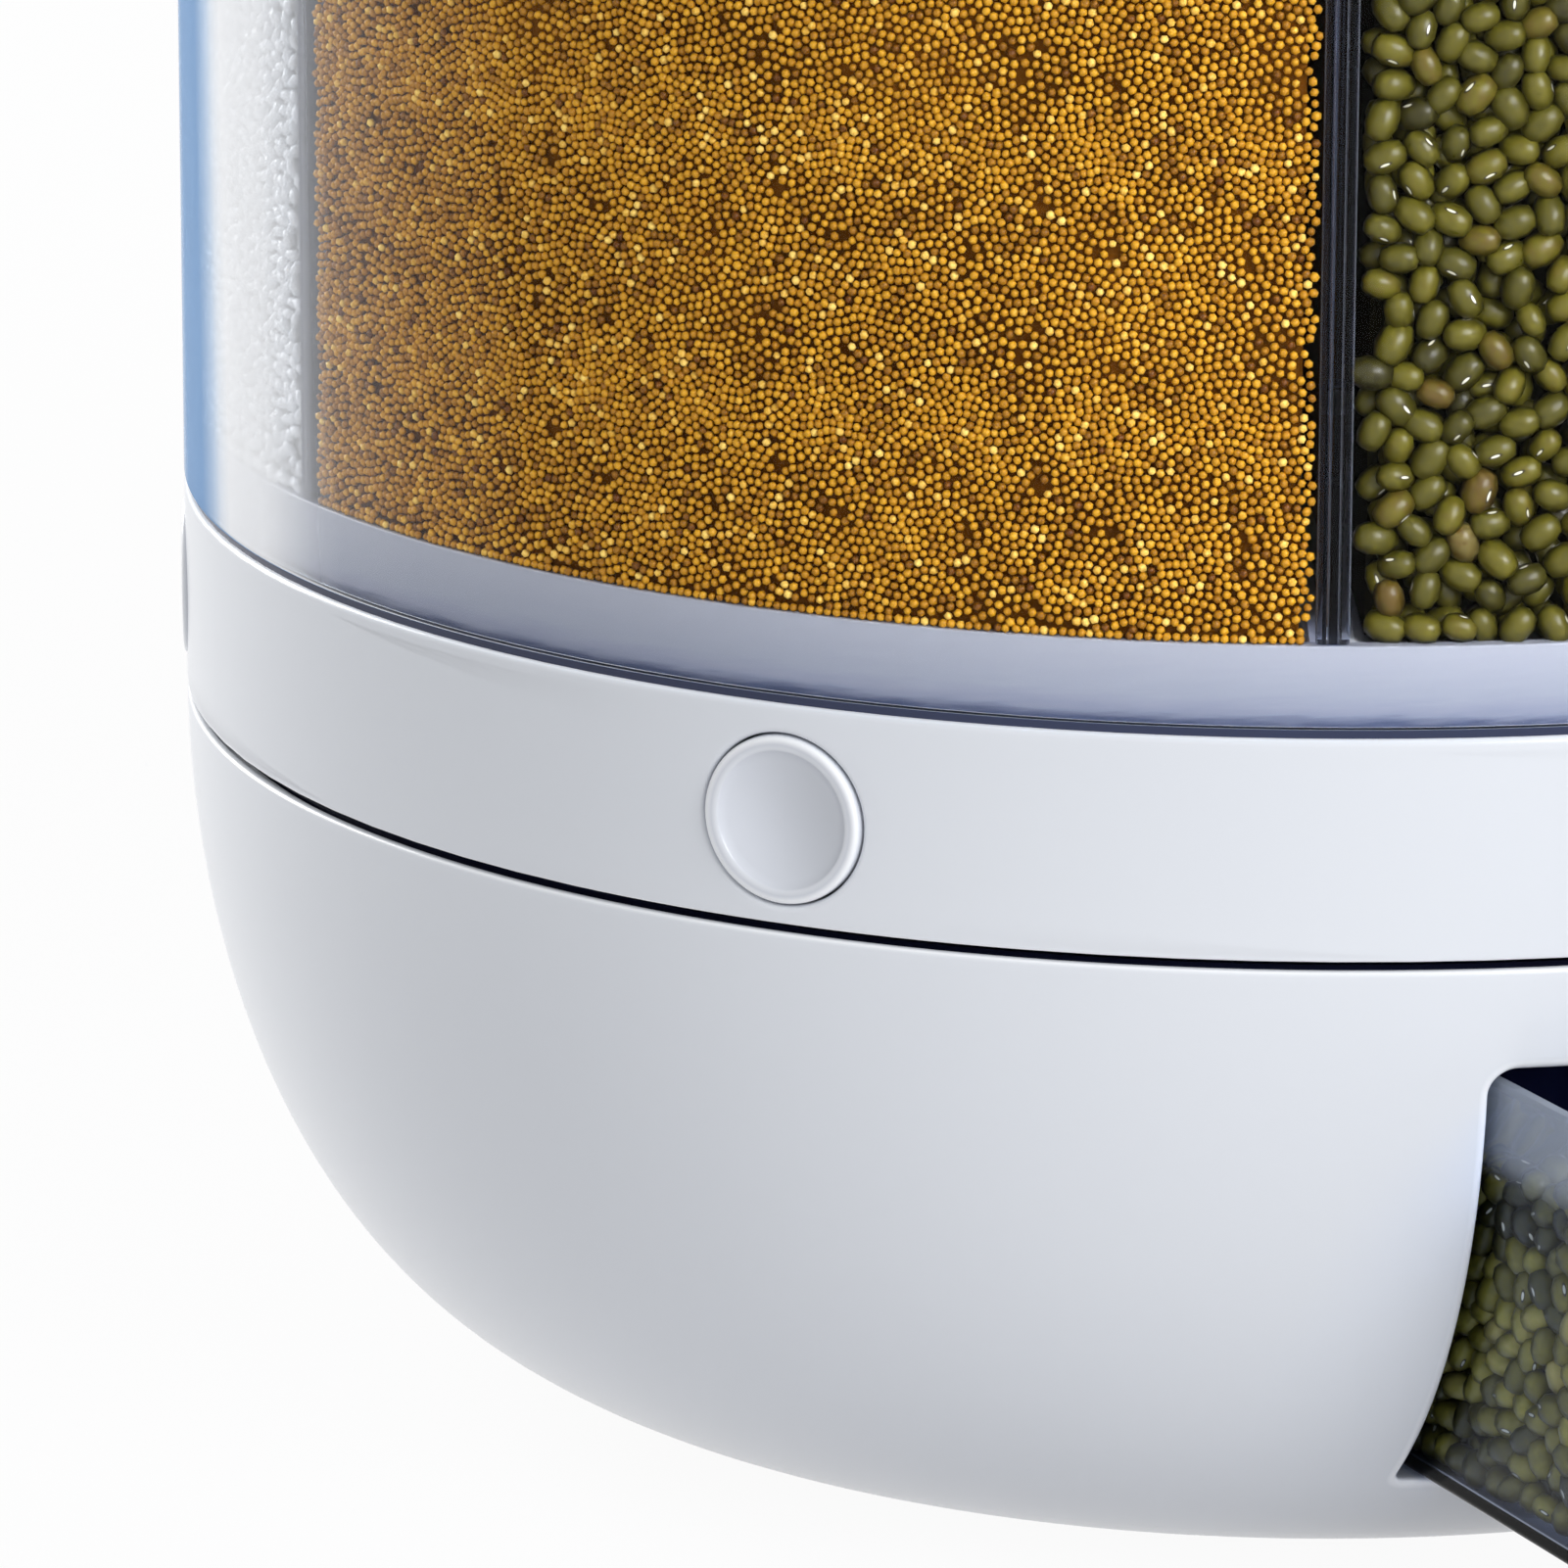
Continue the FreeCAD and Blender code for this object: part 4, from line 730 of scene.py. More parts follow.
def lidProfile(inset):
    # upright side, quarter-round shoulder, then a low crown that rises to the well and levels off there
    radius = barrel["radius"] - barrel["draft"] - inset
    bend = lid["shoulder"] - inset
    brim = lid["high"] - lid["crown"] - inset
    turn = np.radians(np.linspace(0, 90, 13))
    shoulder = np.stack([radius - bend + bend * np.cos(turn), brim - bend + bend * np.sin(turn)], axis=-1)
    u = np.linspace(0, 1, 9)[1:]
    crown = np.stack([(radius - bend) + (lid["wellRadius"] - (radius - bend)) * u,
                      brim + lid["crown"] * np.sin(u * np.pi / 2)], axis=-1)
    return np.concatenate([shoulder, crown])


def lidCover():
    outer, inner = lidProfile(0.0), lidProfile(lid["wall"])
    low, top, well, bore = (lid[key] for key in ("low", "high", "wellRadius", "bore"))
    wall, edge, foot = (lid[key] for key in ("wall", "edge", "footEdge"))
    wellFloor = top - lid["wellDepth"]
    side = barrel["radius"] - barrel["draft"]
    return turned(np.concatenate([
        [(side - foot, low), (side, low + foot)], outer[:-1],
        roundCorner((well + edge, top), (well, top), (well, top - edge), 4),
        [(well, wellFloor), (bore, wellFloor), (bore, wellFloor - wall), (well + wall, wellFloor - wall)],
        inner[::-1], [(side - wall, low), (side - foot, low)],
    ]))


partition = {
    "half": 1.0, "beadHalf": 1.9, "beadDepth": 3.2, "beadRound": 0.9, "low": 123.4, "high": 271.1, "hub": 9.2,
    "coneTop": 16.0, "coneEdge": 38.4, "coneRise": 3.0, "wallGap": 0.3, "grooveAt": 0.62, "grooveHalf": 0.14,
    # the groove shares are painted shade in the bead's grooves
    "grooveDepth": 0.35, "grooveShadeShares": [0.6, 1.0, 0.6, 0.0], "sharp": 30,
}


def partitionPlates():
    # stations along one side of a partition: half widths, three of them at radii from the axis, and then the
    # bead and its groove at distances inside the barrel's wall
    p = partition
    plate, coneTop, coneEdge, groove = p["half"], p["coneTop"], p["coneEdge"], p["grooveAt"]
    turn = np.radians(np.linspace(0, 90, 6))
    beadHalf, bend = p["beadHalf"], p["beadRound"]
    bead = np.stack([beadHalf - bend * (1 - np.cos(turn)), bend * (1 - np.sin(turn))], axis=-1)
    outer = np.concatenate([[(plate, p["beadDepth"]), (beadHalf, p["beadDepth"])], bead,
                            [(groove + p["grooveHalf"], 0), (groove, p["grooveDepth"]),
                             (groove - p["grooveHalf"], 0), (0.02, 0)]])
    radii = np.array([p["hub"], coneTop, coneEdge])
    half = np.concatenate([np.full(3, plate), outer[:, 0]])
    rise = np.clip((coneEdge - radii) / (coneEdge - coneTop), 0, 1) * p["coneRise"]
    heights = np.stack([p["low"] + np.append(rise, np.zeros(len(outer))), np.full(len(half), p["high"])])
    wall = [innerWallRadius(z) - p["wallGap"] - outer[:, 1] for z in (p["low"], p["high"])]
    reach = np.stack([np.append(radii, line) for line in wall])
    # painted shade on the groove rows
    dark = np.append(np.zeros(len(half) - 4), p["grooveShadeShares"])
    grids, paintedEdges = [], {}
    for middle in range(30, 390, sector):
        angle = math.radians(middle)
        left, right = (np.stack([reach * math.sin(angle) + side * half * math.cos(angle),
                                 -reach * math.cos(angle) + side * half * math.sin(angle), heights], axis=-1)
                       for side in (-1, 1))
        paintedEdges[len(grids)] = np.concatenate([dark, dark[::-1], dark[:1]])[None, :]
        grids.append(np.concatenate([left, right[:, ::-1], left[:, :1]], axis=1))
        grids += [np.stack([left[row], right[row]]) for row in (0, 1)]
    return shellMesh(grids, p["sharp"], paintedEdges)


addPiece("partitionPlates", partitionPlates(), clearSheet, "drum", ["divider_plates"])
addPiece("barrelWall", barrelWall(), clearWall, "drum", ["barrel"])
addPiece("hopperCollar", collarSkin(), shadedCollar(), "drum")
addPiece("lidShell", lidCover(), whitePlastic, "lid", ["lid_cover"])
print("barrel, collar and lid made")


cup = {
    "base": 19.0, "top": 72.7, "wall": 1.6, "back": 49.6, "front": 164.0, "lean": 4.0, "topHalf": 51.5,
    "floorHalf": 49.5, "taper": 0.054, "taperFrom": 128.0, "corner": 7.0, "bowRadius": 120.0, "bowRise": 15.8,
    "bowSide": 0.6, "lipReach": 9.0, "lipFlat": 20.0, "lipEnd": 10.0, "lipThickness": 2.4, "rimRound": 0.35,
    "rimInset": 0.75, "arcSteps": 16, "sideSteps": 12, "footRound": 1.0, "floorWall": 1.1, "insideRound": 1.0,
    "sharp": 40,
}


def cupOutline(inset, height):
    # plan outline of the cup at one height: sides that taper to the back, a bowed front, round corners
    share = (height - cup["base"]) / (cup["top"] - cup["base"])
    half = cup["floorHalf"] + (cup["topHalf"] - cup["floorHalf"]) * share - inset
    back = cup["back"] + inset
    front = cup["front"] + cup["lean"] * (share - 1) - inset
    sideFront = front - cup["bowRise"] * cup["bowSide"]
    backHalf = half + (back - cup["taperFrom"]) * cup["taper"]
    frontHalf = half + (sideFront - cup["taperFrom"]) * cup["taper"]
    corner = cup["corner"] - inset
    corners = [(-backHalf, back), (backHalf, back), (frontHalf, sideFront),
               (0, front + cup["bowRise"] * (1 - cup["bowSide"])), (-frontHalf, sideFront)]
    radii = [corner, corner, corner, cup["bowRadius"] - inset, corner]
    plan = roundedOutline(corners, radii, cup["arcSteps"], cup["sideSteps"])
    return np.stack([plan[:, 0], -plan[:, 1], np.full(len(plan), float(height))], axis=-1)


def drawnIn(row, steps):
    # a plan outline drawn in to its middle, one row of points per step
    middle = np.array([0.0, (row[:, 1].min() + row[:, 1].max()) / 2, row[0, 2]])
    share = np.linspace(0, 1, steps)[:, None, None]
    return row[None] * (1 - share) + middle * share


def roundedFoot(inset, low, bend, angles):
    # outlines round the edge between a floor at low and the wall inside inset
    return [cupOutline(inset + bend * (1 - math.cos(angle)), low + bend * (1 - math.sin(angle)))
            for angle in np.radians(angles)]


def cupShell():
    base, top, wall, thick = cup["base"], cup["top"], cup["wall"], cup["lipThickness"]
    footRows = roundedFoot(0.0, base, cup["footRound"], np.linspace(90, 0, 6)[:-1])
    outer = [cupOutline(0.0, z) for z in np.linspace(base + cup["footRound"], top - thick - 1.0, 8)]
    # the pouring lip: the front of the rim is pushed out, most in the middle, to nothing at its ends
    rim, under = cupOutline(0.0, top), cupOutline(0.0, top - thick)
    ending = np.clip((np.abs(rim[:, 0]) - cup["lipFlat"]) / cup["lipEnd"], 0, 1)
    reach = cup["lipReach"] * np.sqrt(np.clip(1 - ending ** 2, 0, 1))
    reach = np.where(rim[:, 1] < -cup["front"] + cup["bowRise"], reach, 0.0)
    push = np.stack([np.zeros_like(reach), -reach, np.zeros_like(reach)], axis=-1)
    line = -cup["front"] - cup["lipReach"]

    def pushed(row, drop, share):
        moved = row + push * share
        moved[:, 1] = np.maximum(moved[:, 1], line + (1 - share) * 3)
        moved[:, 2] -= drop
        return moved

    lipRows = [under, pushed(under, 0.0, 0.94), pushed(rim, thick * 0.5, 1.0),
               pushed(rim, cup["rimRound"], 0.99), pushed(rim, 0.0, 0.95)]
    floor, bend = base + cup["floorWall"], cup["insideRound"]
    inner = [cupOutline(wall * cup["rimInset"], top)]
    inner += [cupOutline(wall, z) for z in np.linspace(top - 0.5, floor + bend, 8)]
    innerFoot = roundedFoot(wall, floor, bend, np.linspace(0, 90, 5)[1:])
    skin = closeLoop(np.stack(footRows + outer + lipRows + inner + innerFoot))
    caps = [closeLoop(drawnIn(row, 7)) for row in (footRows[0], innerFoot[-1])]
    return shellMesh([skin] + caps, cup["sharp"])


addPiece("cupShell", cupShell(), smokyWall, "cup", ["measuring_cup"])
print("cup made")


grainTile = {"side": 30, "rounds": 24, "reach": 1.2, "pushShare": 0.22, "apart": 0.0001}
grainVary = {"size": 0.055, "tone": 0.5, "toneSpread": 0.2, "layerShade": 0.25}
mung = {"side": 28.4, "radii": (2.45, 1.85, 1.85), "spacing": 3.75, "tilt": 0.35, "layers": 2, "parts": 1,
        "topSpacing": 1.05, "coreDepth": 2.6}
millet = {"side": 28.95, "radii": (0.58, 0.53, 0.53), "spacing": 1.05, "tilt": 0.6, "layers": 1, "parts": 2,
          "topSpacing": 1.42, "coreDepth": 1.5}
rice = {"side": 28.7, "radii": (1.55, 0.80, 0.80), "spacing": 1.9, "tilt": 0.25, "layers": 1, "parts": 1,
        "topSpacing": 1.05, "coreDepth": 1.5}
fill = {"low": 123.3, "high": 258.0, "middle": 200.0, "wallGap": 0.25, "topGap": 2.0, "side": 28.4, "fall": 3.0,
        "fallRadius": 137, "wave": 1.6, "waveTurns": 5, "waveLength": 19.0, "topInner": 13, "topOuter": 134,
        "topGrid": 150, "plateGap": 2.4, "coreRadius": 14.0, "coreSteps": 49, "coreRows": 17, "coreWave": 0.35,
        "corePace": 1.3, "coreBehind": 0.6}
floorRow = {"clear": 0.62, "first": 0.5, "pace": 1.02, "jitter": 0.08, "rise": 0.42}


def relaxedTile(side, rounds, reach):
    # one point for each unit of area on a tile that repeats, each pushed away by neighbours nearer than reach
    spots = rng.random((side * side, 2)).astype(np.float32) * side
    for step in range(rounds):
        apart = spots[:, None, :] - spots[None, :, :]
        apart -= side * np.round(apart / side)
        distance = np.sqrt((apart ** 2).sum(-1)) + grainTile["apart"]
        push = np.clip(reach - distance, 0, None) / distance
        np.fill_diagonal(push, 0)
        spots = (spots + grainTile["pushShare"] * (apart * push[..., None]).sum(1)) % side
    return spots


unitTile = relaxedTile(grainTile["side"], grainTile["rounds"], grainTile["reach"])


def spreadPoints(width, height, spacing, shift=(0.0, 0.0)):
    # the tile repeated over a rectangle, at a grain's own spacing
    side = grainTile["side"] * spacing
    columns, rows = int(width / side) + 2, int(height / side) + 2
    steps = np.stack(np.meshgrid(np.arange(-1, columns), np.arange(-1, rows)), axis=-1).reshape(-1, 1, 2) * side
    spots = (unitTile[None] * spacing + steps + np.array(shift)).reshape(-1, 2)
    inside = (spots[:, 0] > 0) & (spots[:, 0] < width) & (spots[:, 1] > 0) & (spots[:, 1] < height)
    return spots[inside]


def ovalTemplate(segments=8, bands=5, blunt=0.72):
    # rings between two poles on the long axis; their radius is cos(latitude)^blunt, so that the ends are full
    lat = np.radians(np.linspace(-90, 90, bands + 1))[1:-1]
    lon = np.radians(np.arange(segments) * 360.0 / segments)
    width = np.cos(lat)[:, None] ** blunt
    ringPoints = np.stack([np.broadcast_to(np.sin(lat)[:, None], (len(lat), segments)),
                           width * np.cos(lon), width * np.sin(lon)], axis=-1)
    points = np.concatenate([[[-1.0, 0, 0]], ringPoints.reshape(-1, 3), [[1.0, 0, 0]]])
    index = np.arange(len(lat) * segments).reshape(len(lat), segments) + 1
    after = np.roll(index, -1, axis=1)
    quads = np.stack([index[:-1], index[1:], after[1:], after[:-1]], axis=-1).reshape(-1, 4)
    last = len(points) - 1
    first = np.stack([np.zeros(segments, int), index[0], after[0]], axis=-1)
    final = np.stack([np.full(segments, last), after[-1], index[-1]], axis=-1)
    return points, [quads[:, ::-1], np.concatenate([first, final])[:, ::-1]]


def beadTemplate():
    # twenty-sided bead from the golden rectangles' corners
    g = (1 + math.sqrt(5)) / 2
    points = np.array([(-1, g, 0), (1, g, 0), (-1, -g, 0), (1, -g, 0), (0, -1, g), (0, 1, g),
                       (0, -1, -g), (0, 1, -g), (g, 0, -1), (g, 0, 1), (-g, 0, -1), (-g, 0, 1)], float)
    faces = np.array([(0, 11, 5), (0, 5, 1), (0, 1, 7), (0, 7, 10), (0, 10, 11), (1, 5, 9), (5, 11, 4),
                      (11, 10, 2), (10, 7, 6), (7, 1, 8), (3, 9, 4), (3, 4, 2), (3, 2, 6), (3, 6, 8),
                      (3, 8, 9), (4, 9, 5), (2, 4, 11), (6, 2, 10), (8, 6, 7), (9, 8, 1)])
    return points / np.linalg.norm(points[0]), [faces]


def toneSpread(count, dimming):
    return np.clip(rng.normal(grainVary["tone"], grainVary["toneSpread"], count) - dimming, 0, 1)


def addGrains(name, surface, normal, radii, template, tilt, depth, tones, skin, body):
    # copies of one grain against a surface: long axis near the surface, turned at random about it and itself
    count = len(surface)
    side = unit(np.cross(normal, np.array([0.31, 0.17, 0.93])))
    other = np.cross(normal, side)
    spin = rng.random(count)[:, None] * 2 * np.pi
    longAxis = unit(np.cos(spin) * side + np.sin(spin) * other + rng.normal(0, tilt, (count, 1)) * normal)
    second = unit(np.cross(normal, longAxis))
    third = np.cross(longAxis, second)
    roll = rng.random(count)[:, None] * 2 * np.pi
    second, third = (np.cos(roll) * second + np.sin(roll) * third,
                     np.cos(roll) * third - np.sin(roll) * second)
    size = rng.normal(1.0, grainVary["size"], (count, 1))
    axes = [longAxis * radii[0] * size, second * radii[1] * size, third * radii[2] * size]
    reach = np.sqrt(sum(((axis * normal).sum(-1)) ** 2 for axis in axes))[:, None]
    centre = surface - normal * (reach + depth[:, None])
    shape, faceSets = template
    points = centre[:, None] + sum(shape[None, :, k, None] * axes[k][:, None] for k in range(3))
    offsets = (np.arange(count) * len(shape))[:, None, None]
    mesh = fillMesh(points.reshape(-1, 3), [(f[None] + offsets).reshape(-1, f.shape[1]) for f in faceSets])
    smoothFaces(mesh)
    addAttribute(mesh, "grainTone", "FLOAT", np.repeat(tones, len(shape)))
    addAttribute(mesh, "grainSpace", "FLOAT_VECTOR", np.tile(shape, (count, 1)))
    addPiece(name, mesh, skin, body)


def upwards(count):
    return np.tile(np.array([0, 0, 1.0]), (count, 1))


def standOnFloor(spots, width, spacing):
    # the lowest spots give way to one even row along the floor
    along = np.arange(spacing * floorRow["first"], width, spacing * floorRow["pace"])
    along = along + rng.normal(0, floorRow["jitter"] * spacing, len(along))
    kept = spots[spots[:, 1] > floorRow["clear"] * spacing]
    return np.concatenate([kept, np.stack([along, np.zeros(len(along))], axis=-1)])


def wallSpots(middle, sizes, shift, first=0.0, last=1.0):
    # spots on the barrel's inner face between two partitions, from the bearing and the height
    spacing, side, radius = sizes["spacing"], sizes["side"], innerWallRadius(fill["middle"])
    width = math.radians(2 * side) * radius
    spots = spreadPoints(width, fill["high"] - fill["low"] - fill["topGap"], spacing, shift)
    spots = standOnFloor(spots, width, spacing)
    spots = spots[(spots[:, 0] >= first * width) & (spots[:, 0] < last * width)]
    height = fill["low"] + spacing * floorRow["rise"] + spots[:, 1]
    bearing = middle - side + np.degrees(spots[:, 0] / radius)
    surface = onBearing(innerWallRadius(height) - fill["wallGap"], bearing, height)
    return surface, onBearing(1.0, bearing, np.zeros_like(bearing))


def fillTop(radius, bearing):
    # the grain's upper face: a low heap with slow waves
    waves = fill["wave"] * np.sin(np.radians(bearing * fill["waveTurns"])) * np.cos(radius / fill["waveLength"])
    return fill["high"] - fill["fall"] * (radius / fill["fallRadius"]) ** 2 + waves


def topSpots(middle, spacing, shift):
    grid = fill["topGrid"]
    spots = spreadPoints(grid, grid, spacing, shift) - np.array([grid / 2, 0])
    x, y = spots.T
    radius = np.hypot(x, y)
    inside = (radius < fill["topOuter"]) & (radius > fill["topInner"])
    inside &= np.abs(x) < y * math.tan(math.radians(sector / 2)) - fill["plateGap"]
    radius, bearing = radius[inside], np.degrees(np.arctan2(x, y))[inside] + middle
    return onBearing(radius, bearing, fillTop(radius, bearing)), upwards(len(radius))


def coreMesh(middle, spacing, depth):
    # the mass behind the outer grains: a sector whose outer face has shallow bumps
    bearings = middle + np.linspace(-fill["side"], fill["side"], fill["coreSteps"])[None, :]
    rise = np.linspace(0, 1, fill["coreSteps"])[:, None]
    inwards = np.linspace(1, 0, fill["coreRows"])[:, None]
    low, sink = fill["low"], depth * fill["coreBehind"]
    base = innerWallRadius(fill["middle"]) - depth
    pace = 2 * np.pi / (fill["corePace"] * spacing)
    wave = fill["coreWave"] * np.sin(np.radians(bearings) * base * pace)
    wave = wave * np.sin(rise * (fill["high"] - low) * pace)
    top = fillTop(base, bearings) - sink
    outer = onBearing(base + wave, bearings, low + (top - low) * rise)
    radius = fill["coreRadius"] + (base - fill["coreRadius"]) * inwards
    roof = onBearing(radius, bearings, fillTop(radius, bearings) - sink)
    roof[0] = outer[-1]
    foot = roof.copy()
    foot[..., 2] = low
    foot[0] = outer[0]
    share = rise[:, :, None]
    inner = foot[-1][None] * (1 - share) + roof[-1][None] * share
    sides = [foot[None, :, k] * (1 - share) + roof[None, :, k] * share for k in (0, -1)]
    for k, side in zip((0, -1), sides):
        side[:, 0] = outer[:, k]
    return shellMesh([outer, roof, foot, inner] + sides, 60)


oval, bead = ovalTemplate(), beadTemplate()
kinds = [
    ("mung", mung, mungSkin, mungShade, oval, (0, 180)),
    ("millet", millet, milletSkin, milletShade, bead, (-60, 120)),
    ("rice", rice, riceSkin, riceShade, bead, (-120, 60)),
]

for kind, sizes, skin, shade, template, middles in kinds:
    radii, spacing, tilt = sizes["radii"], sizes["spacing"], sizes["tilt"]
    layers, parts = sizes["layers"], sizes["parts"]
    for middle in middles:
        tag = kind + ("Front" if abs(middle) < 90 else "Back")
        for layer in range(layers):
            for part in range(parts):
                surface, normal = wallSpots(middle, sizes, (layer * 7.3 + 2.0, layer * 4.1 + 1.0),
                                            part / parts, (part + 1) / parts)
                count = len(surface)
                depth = rng.random(count) * radii[1] * 0.55 + layer * radii[1] * 1.35
                name = tag + "Wall" + "AB"[layer] + ("" if parts == 1 else str(part + 1))
                # the second layer is drawn darker, painted shade behind the first
                addGrains(name, surface, normal, radii, template, tilt, depth,
                          toneSpread(count, grainVary["layerShade"] * layer), skin, "drum")
        surface, normal = topSpots(middle, spacing * sizes["topSpacing"], (3.0, 5.0))
        count = len(surface)
        depth = rng.random(count) * radii[1] * 0.5 - radii[1] * 0.5
        addGrains(tag + "Top", surface, normal, radii, template, tilt, depth, toneSpread(count, 0.0), skin,
                  "drum")
        core = coreMesh(middle, spacing, radii[1] * sizes["coreDepth"] + 0.6)
        addPiece(tag + "Core", core, shade, "drum")
print("grain in the barrel made")


cupFill = {"height": 66.0, "lowest": 38.0, "slope": 0.27, "slopeFrom": 144.0, "gap": 0.2, "topGap": 3.0,
           "rise": 1.75, "middle": -105.0, "coreInset": 5.5, "coreDrop": 4.0, "coreRows": 24, "tilt": 0.35,
           "depthSpread": 1.0, "layerDepth": 2.5, "layerRise": 1.2,
           "shadeAt": [20, 28, 36, 46, 52, 62], "shade": [0.12, 0.0, -0.22, -0.20, 0.12, 0.22]}
cupTop = {"width": 120, "length": 130, "sideGap": 2.4, "sideOut": 1.4, "frontGap": 5.6, "backGap": 3.0,
          "bow": 9.5, "half": 50.0, "wave": 1.2, "waveX": 13.0, "waveY": 17.0, "fall": 1.5, "tilt": 0.4,
          "depthSpread": 1.2}


def heapHeight(y):
    # the heap falls towards the back of the cup, by slope for each millimetre behind slopeFrom
    height = cupFill["height"]
    return np.clip(height - cupFill["slope"] * (y + cupFill["slopeFrom"]), cupFill["lowest"], height)


def cupWallSpots():
    # spots over the cup's inner wall, by the distance along its outline and the height
    spacing, inset = mung["spacing"], cup["wall"] + cupFill["gap"]
    low, high = cup["base"] + cup["floorWall"] + 0.2, cupFill["height"]
    ringLow, ringHigh = cupOutline(inset, low), cupOutline(inset, high)
    loop = np.concatenate([ringLow, ringLow[:1]])
    run = np.concatenate([[0], np.cumsum(np.linalg.norm(np.diff(loop, axis=0), axis=1))])
    spots = spreadPoints(run[-1], high - low - cupFill["topGap"], spacing, (1.0, 2.0))
    spots = standOnFloor(spots, run[-1], spacing)
    place = np.interp(spots[:, 0], run, np.arange(len(run)))
    first = place.astype(int) % len(ringLow)
    after = (first + 1) % len(ringLow)
    share = (place - place.astype(int))[:, None]
    rise = ((spots[:, 1] + cupFill["rise"]) / (high - low))[:, None]
    bottom, top = (ends[first] * (1 - share) + ends[after] * share for ends in (ringLow, ringHigh))
    normal = np.cross(unit(ringLow[after] - ringLow[first]), np.array([0, 0, 1.0]))
    surface = bottom * (1 - rise) + top * rise
    outwards = surface - np.array([0, cupFill["middle"], 0])
    flip = np.sign((outwards * normal * np.array([1, 1, 0])).sum(-1, keepdims=True))
    under = surface[:, 2] < heapHeight(surface[:, 1]) - 1.0
    return surface[under], (normal * flip)[under]


def cupTopSpots():
    t = cupTop
    spots = spreadPoints(t["width"], t["length"], mung["spacing"], (2.0, 3.0))
    spots = spots - np.array([t["width"] / 2, 0])
    x, y = spots[:, 0], -cup["back"] - spots[:, 1]
    half = cup["floorHalf"] + t["sideOut"] - cup["wall"]
    half = half + (-y - cup["taperFrom"]) * cup["taper"] - t["sideGap"]
    front = -cup["front"] + t["frontGap"] + cup["wall"] + (x / t["half"]) ** 2 * t["bow"]
    inside = (np.abs(x) < half) & (y > front) & (y < -cup["back"] - cup["wall"] - t["backGap"])
    x, y = x[inside], y[inside]
    waves = t["wave"] * np.sin(x / t["waveX"]) * np.cos(y / t["waveY"])
    height = heapHeight(y) + waves - (x / t["half"]) ** 2 * t["fall"]
    return np.stack([x, y, height], axis=-1), upwards(len(x))


def cupCore():
    low, drop = cup["base"] + cup["floorWall"] + 0.3, cupFill["coreDrop"]
    heights = np.linspace(low, cupFill["height"], cupFill["coreRows"])
    rows = [cupOutline(cupFill["coreInset"], z) for z in heights]
    for row in rows:
        row[:, 2] = np.minimum(row[:, 2], heapHeight(row[:, 1]) - drop)
    floor, roof = (drawnIn(row, 25) for row in (rows[0], rows[-1]))
    roof[1:, :, 2] = heapHeight(roof[1:, :, 1]) - drop
    return shellMesh([closeLoop(skin) for skin in (np.stack(rows), floor, roof)], 60)


for layer in range(2):
    surface, normal = cupWallSpots()
    if layer:
        surface = surface + np.array([0, 0, cupFill["layerRise"]])
    depth = rng.random(len(surface)) * cupFill["depthSpread"] + layer * cupFill["layerDepth"]
    # painted shade on the second layer, and painted light and shade by height: the beans are darkest near the
    # top of the heap and brightest a third of the way down
    dimming = grainVary["layerShade"] * layer + np.interp(surface[:, 2], cupFill["shadeAt"], cupFill["shade"])
    addGrains("cupBeansWall" + "AB"[layer], surface, normal, mung["radii"], oval, cupFill["tilt"], depth,
              toneSpread(len(surface), dimming), litCupMungSkin, "cup")
surface, normal = cupTopSpots()
depth = rng.random(len(surface)) * cupTop["depthSpread"]
addGrains("cupBeansTop", surface, normal, mung["radii"], oval, cupTop["tilt"], depth,
          toneSpread(len(surface), 0), litCupMungSkin, "cup")
addPiece("cupBeanCore", cupCore(), mungShade, "cup")
print("beans in the cup made")


finishes = {
    "white_plastic": whitePlastic, "dark_plastic": navyPlastic, "clear_plastic": clearSheet,
    "smoky_plastic": smokyWall, "grey_plastic": greyPlastic, "bearing_plastic": bearingPlastic,
    "seal_rubber": sealRubber, "zinc_steel": zinc,
}
slotOf = {subpart["node"]: subpart["material_slot"] for subpart in frame["record"].get("subparts", [])}
for name, node in nodes.items():
    if not node.hide_render:
        node.data.materials.clear()
        node.data.materials.append(finishes.get(slotOf.get(name), greyPlastic))
print("finishes set")


stage = {"floor": (0.64, 0.64, 0.65), "floorHalf": 4000, "whiteShare": 0.95, "sky": (0.96, 0.98, 1.0),
         "skyStrength": 0.44}
lamps = {
    "backLamp": {"place": (-0.55, 1.65, 0.8), "aim": (0, 0, 0.12), "size": (0.9, 1.1), "power": 24.0,
                 "colour": (1, 1, 1)},
    "frontLamp": {"place": (0.25, -1.9, 1.05), "aim": (0, 0, 0.12), "size": (1.1, 1.0), "power": 31.0,
                  "colour": (0.97, 0.98, 1.0)},
    "topLamp": {"place": (0.1, 0.2, 1.8), "aim": (0, 0, 0.1), "size": (1.4, 1.4), "power": 3.0,
                "colour": (1, 1, 1)},
}
camera = {"place": (-0.57419, -0.921758, 0.360786), "aim": (-0.057692, 0.028909, 0.071194), "lens": 201.8788,
          "sensor": 36, "near": 0.05, "far": 50}


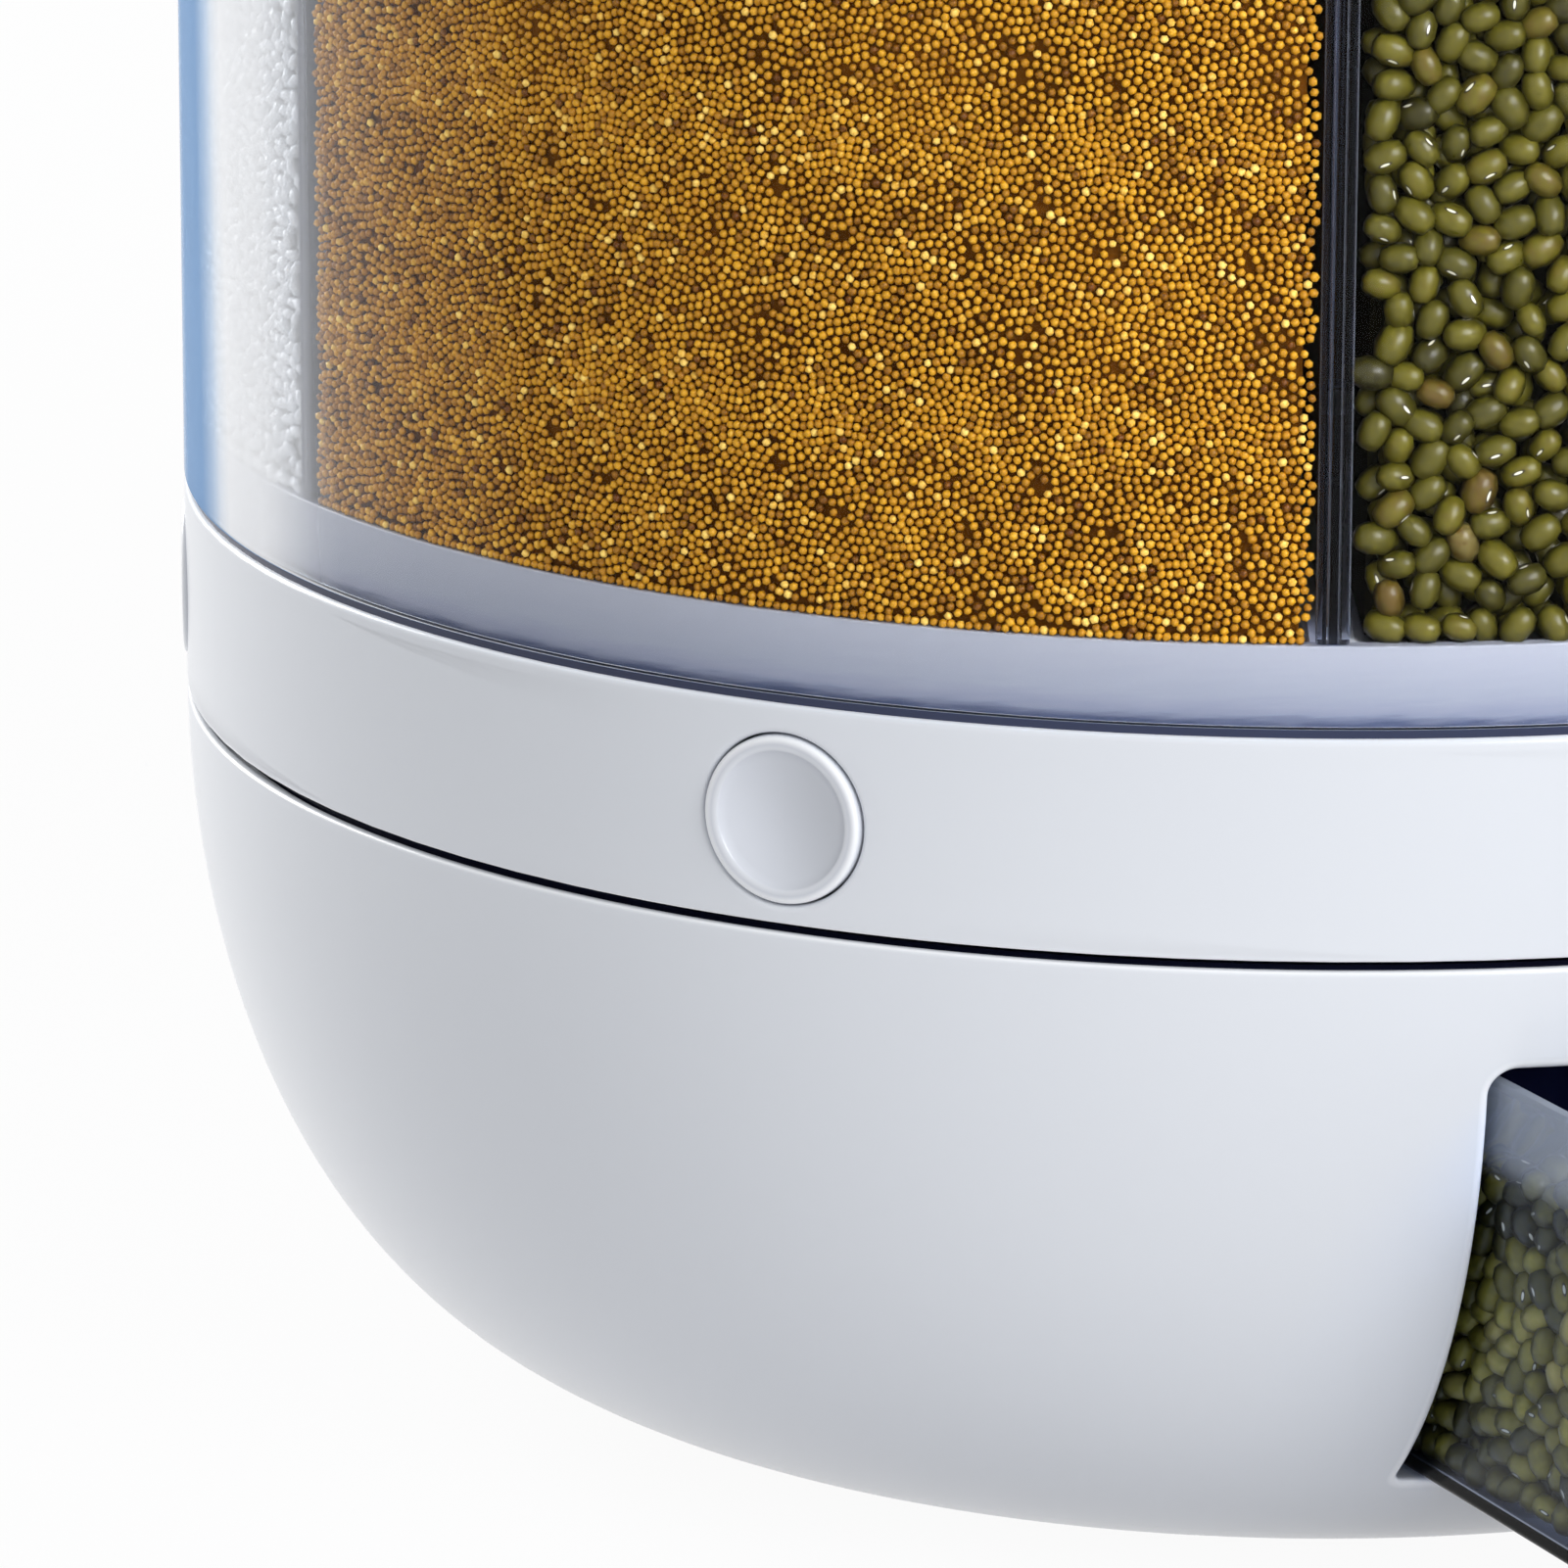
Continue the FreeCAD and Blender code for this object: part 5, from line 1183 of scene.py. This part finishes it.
def whiteToCamera(tree, lit, white, share):
    # the surface as lit for light, and plain white for the eye, through clear walls and in reflections
    path = addNode(tree, "LightPath").outputs
    seen = mathOf(tree, "MAXIMUM", path["Is Camera Ray"], path["Is Transmission Ray"])
    seen = mathOf(tree, "MAXIMUM", seen, path["Is Glossy Ray"])
    return mixSurfaces(tree, mathOf(tree, "MULTIPLY", seen, share), lit, white)


def standAt(thing, place, aim):
    thing.location = place
    thing.rotation_euler = (Vector(aim) - Vector(place)).to_track_quat("-Z", "Y").to_euler()


wide = stage["floorHalf"]
floorMesh = fillMesh(np.array([(-wide, -wide, 0), (wide, -wide, 0), (wide, wide, 0), (-wide, wide, 0)], float),
                     [np.array([[0, 1, 2, 3]])])
floorMesh.name = "paleFloor"
floor = addToScene("paleFloor", floorMesh)
floorMaterial, tree, shader = startMaterial("paleFloor")
feed(tree, shader, {"Base Color": (*stage["floor"], 1), "Roughness": 0.9, "Specular IOR Level": 0.1})
glow = addNode(tree, "Emission", {"Strength": 1.0, "Color": (1, 1, 1, 1)}).outputs[0]
surface = whiteToCamera(tree, shader.outputs[0], glow, stage["whiteShare"])
feed(tree, tree.nodes["Material Output"], {"Surface": surface})
floorMesh.materials.append(floorMaterial)

world = bpy.data.worlds.new("studio")
bpy.context.scene.world = world
world.use_nodes = True
tree = world.node_tree
sky = tree.nodes["Background"]
feed(tree, sky, {"Color": (*stage["sky"], 1), "Strength": stage["skyStrength"]})
white = addNode(tree, "Background", {"Strength": 1.0, "Color": (1, 1, 1, 1)}).outputs[0]
feed(tree, tree.nodes["World Output"], {"Surface": whiteToCamera(tree, sky.outputs[0], white, 1.0)})

for name, row in lamps.items():
    lamp = bpy.data.lights.new(name, "AREA")
    lamp.shape = "RECTANGLE"
    lamp.size, lamp.size_y = row["size"]
    lamp.energy = row["power"]
    lamp.color = row["colour"]
    standAt(addToScene(name, lamp), row["place"], row["aim"])

lens = bpy.data.cameras.new("viewCamera")
lens.lens = camera["lens"]
lens.sensor_width = camera["sensor"]
lens.clip_start, lens.clip_end = camera["near"], camera["far"]
viewer = addToScene("viewCamera", lens)
standAt(viewer, camera["place"], camera["aim"])
bpy.context.scene.camera = viewer
bpy.context.scene.view_settings.view_transform = "Standard"
print("floor, light and camera set")
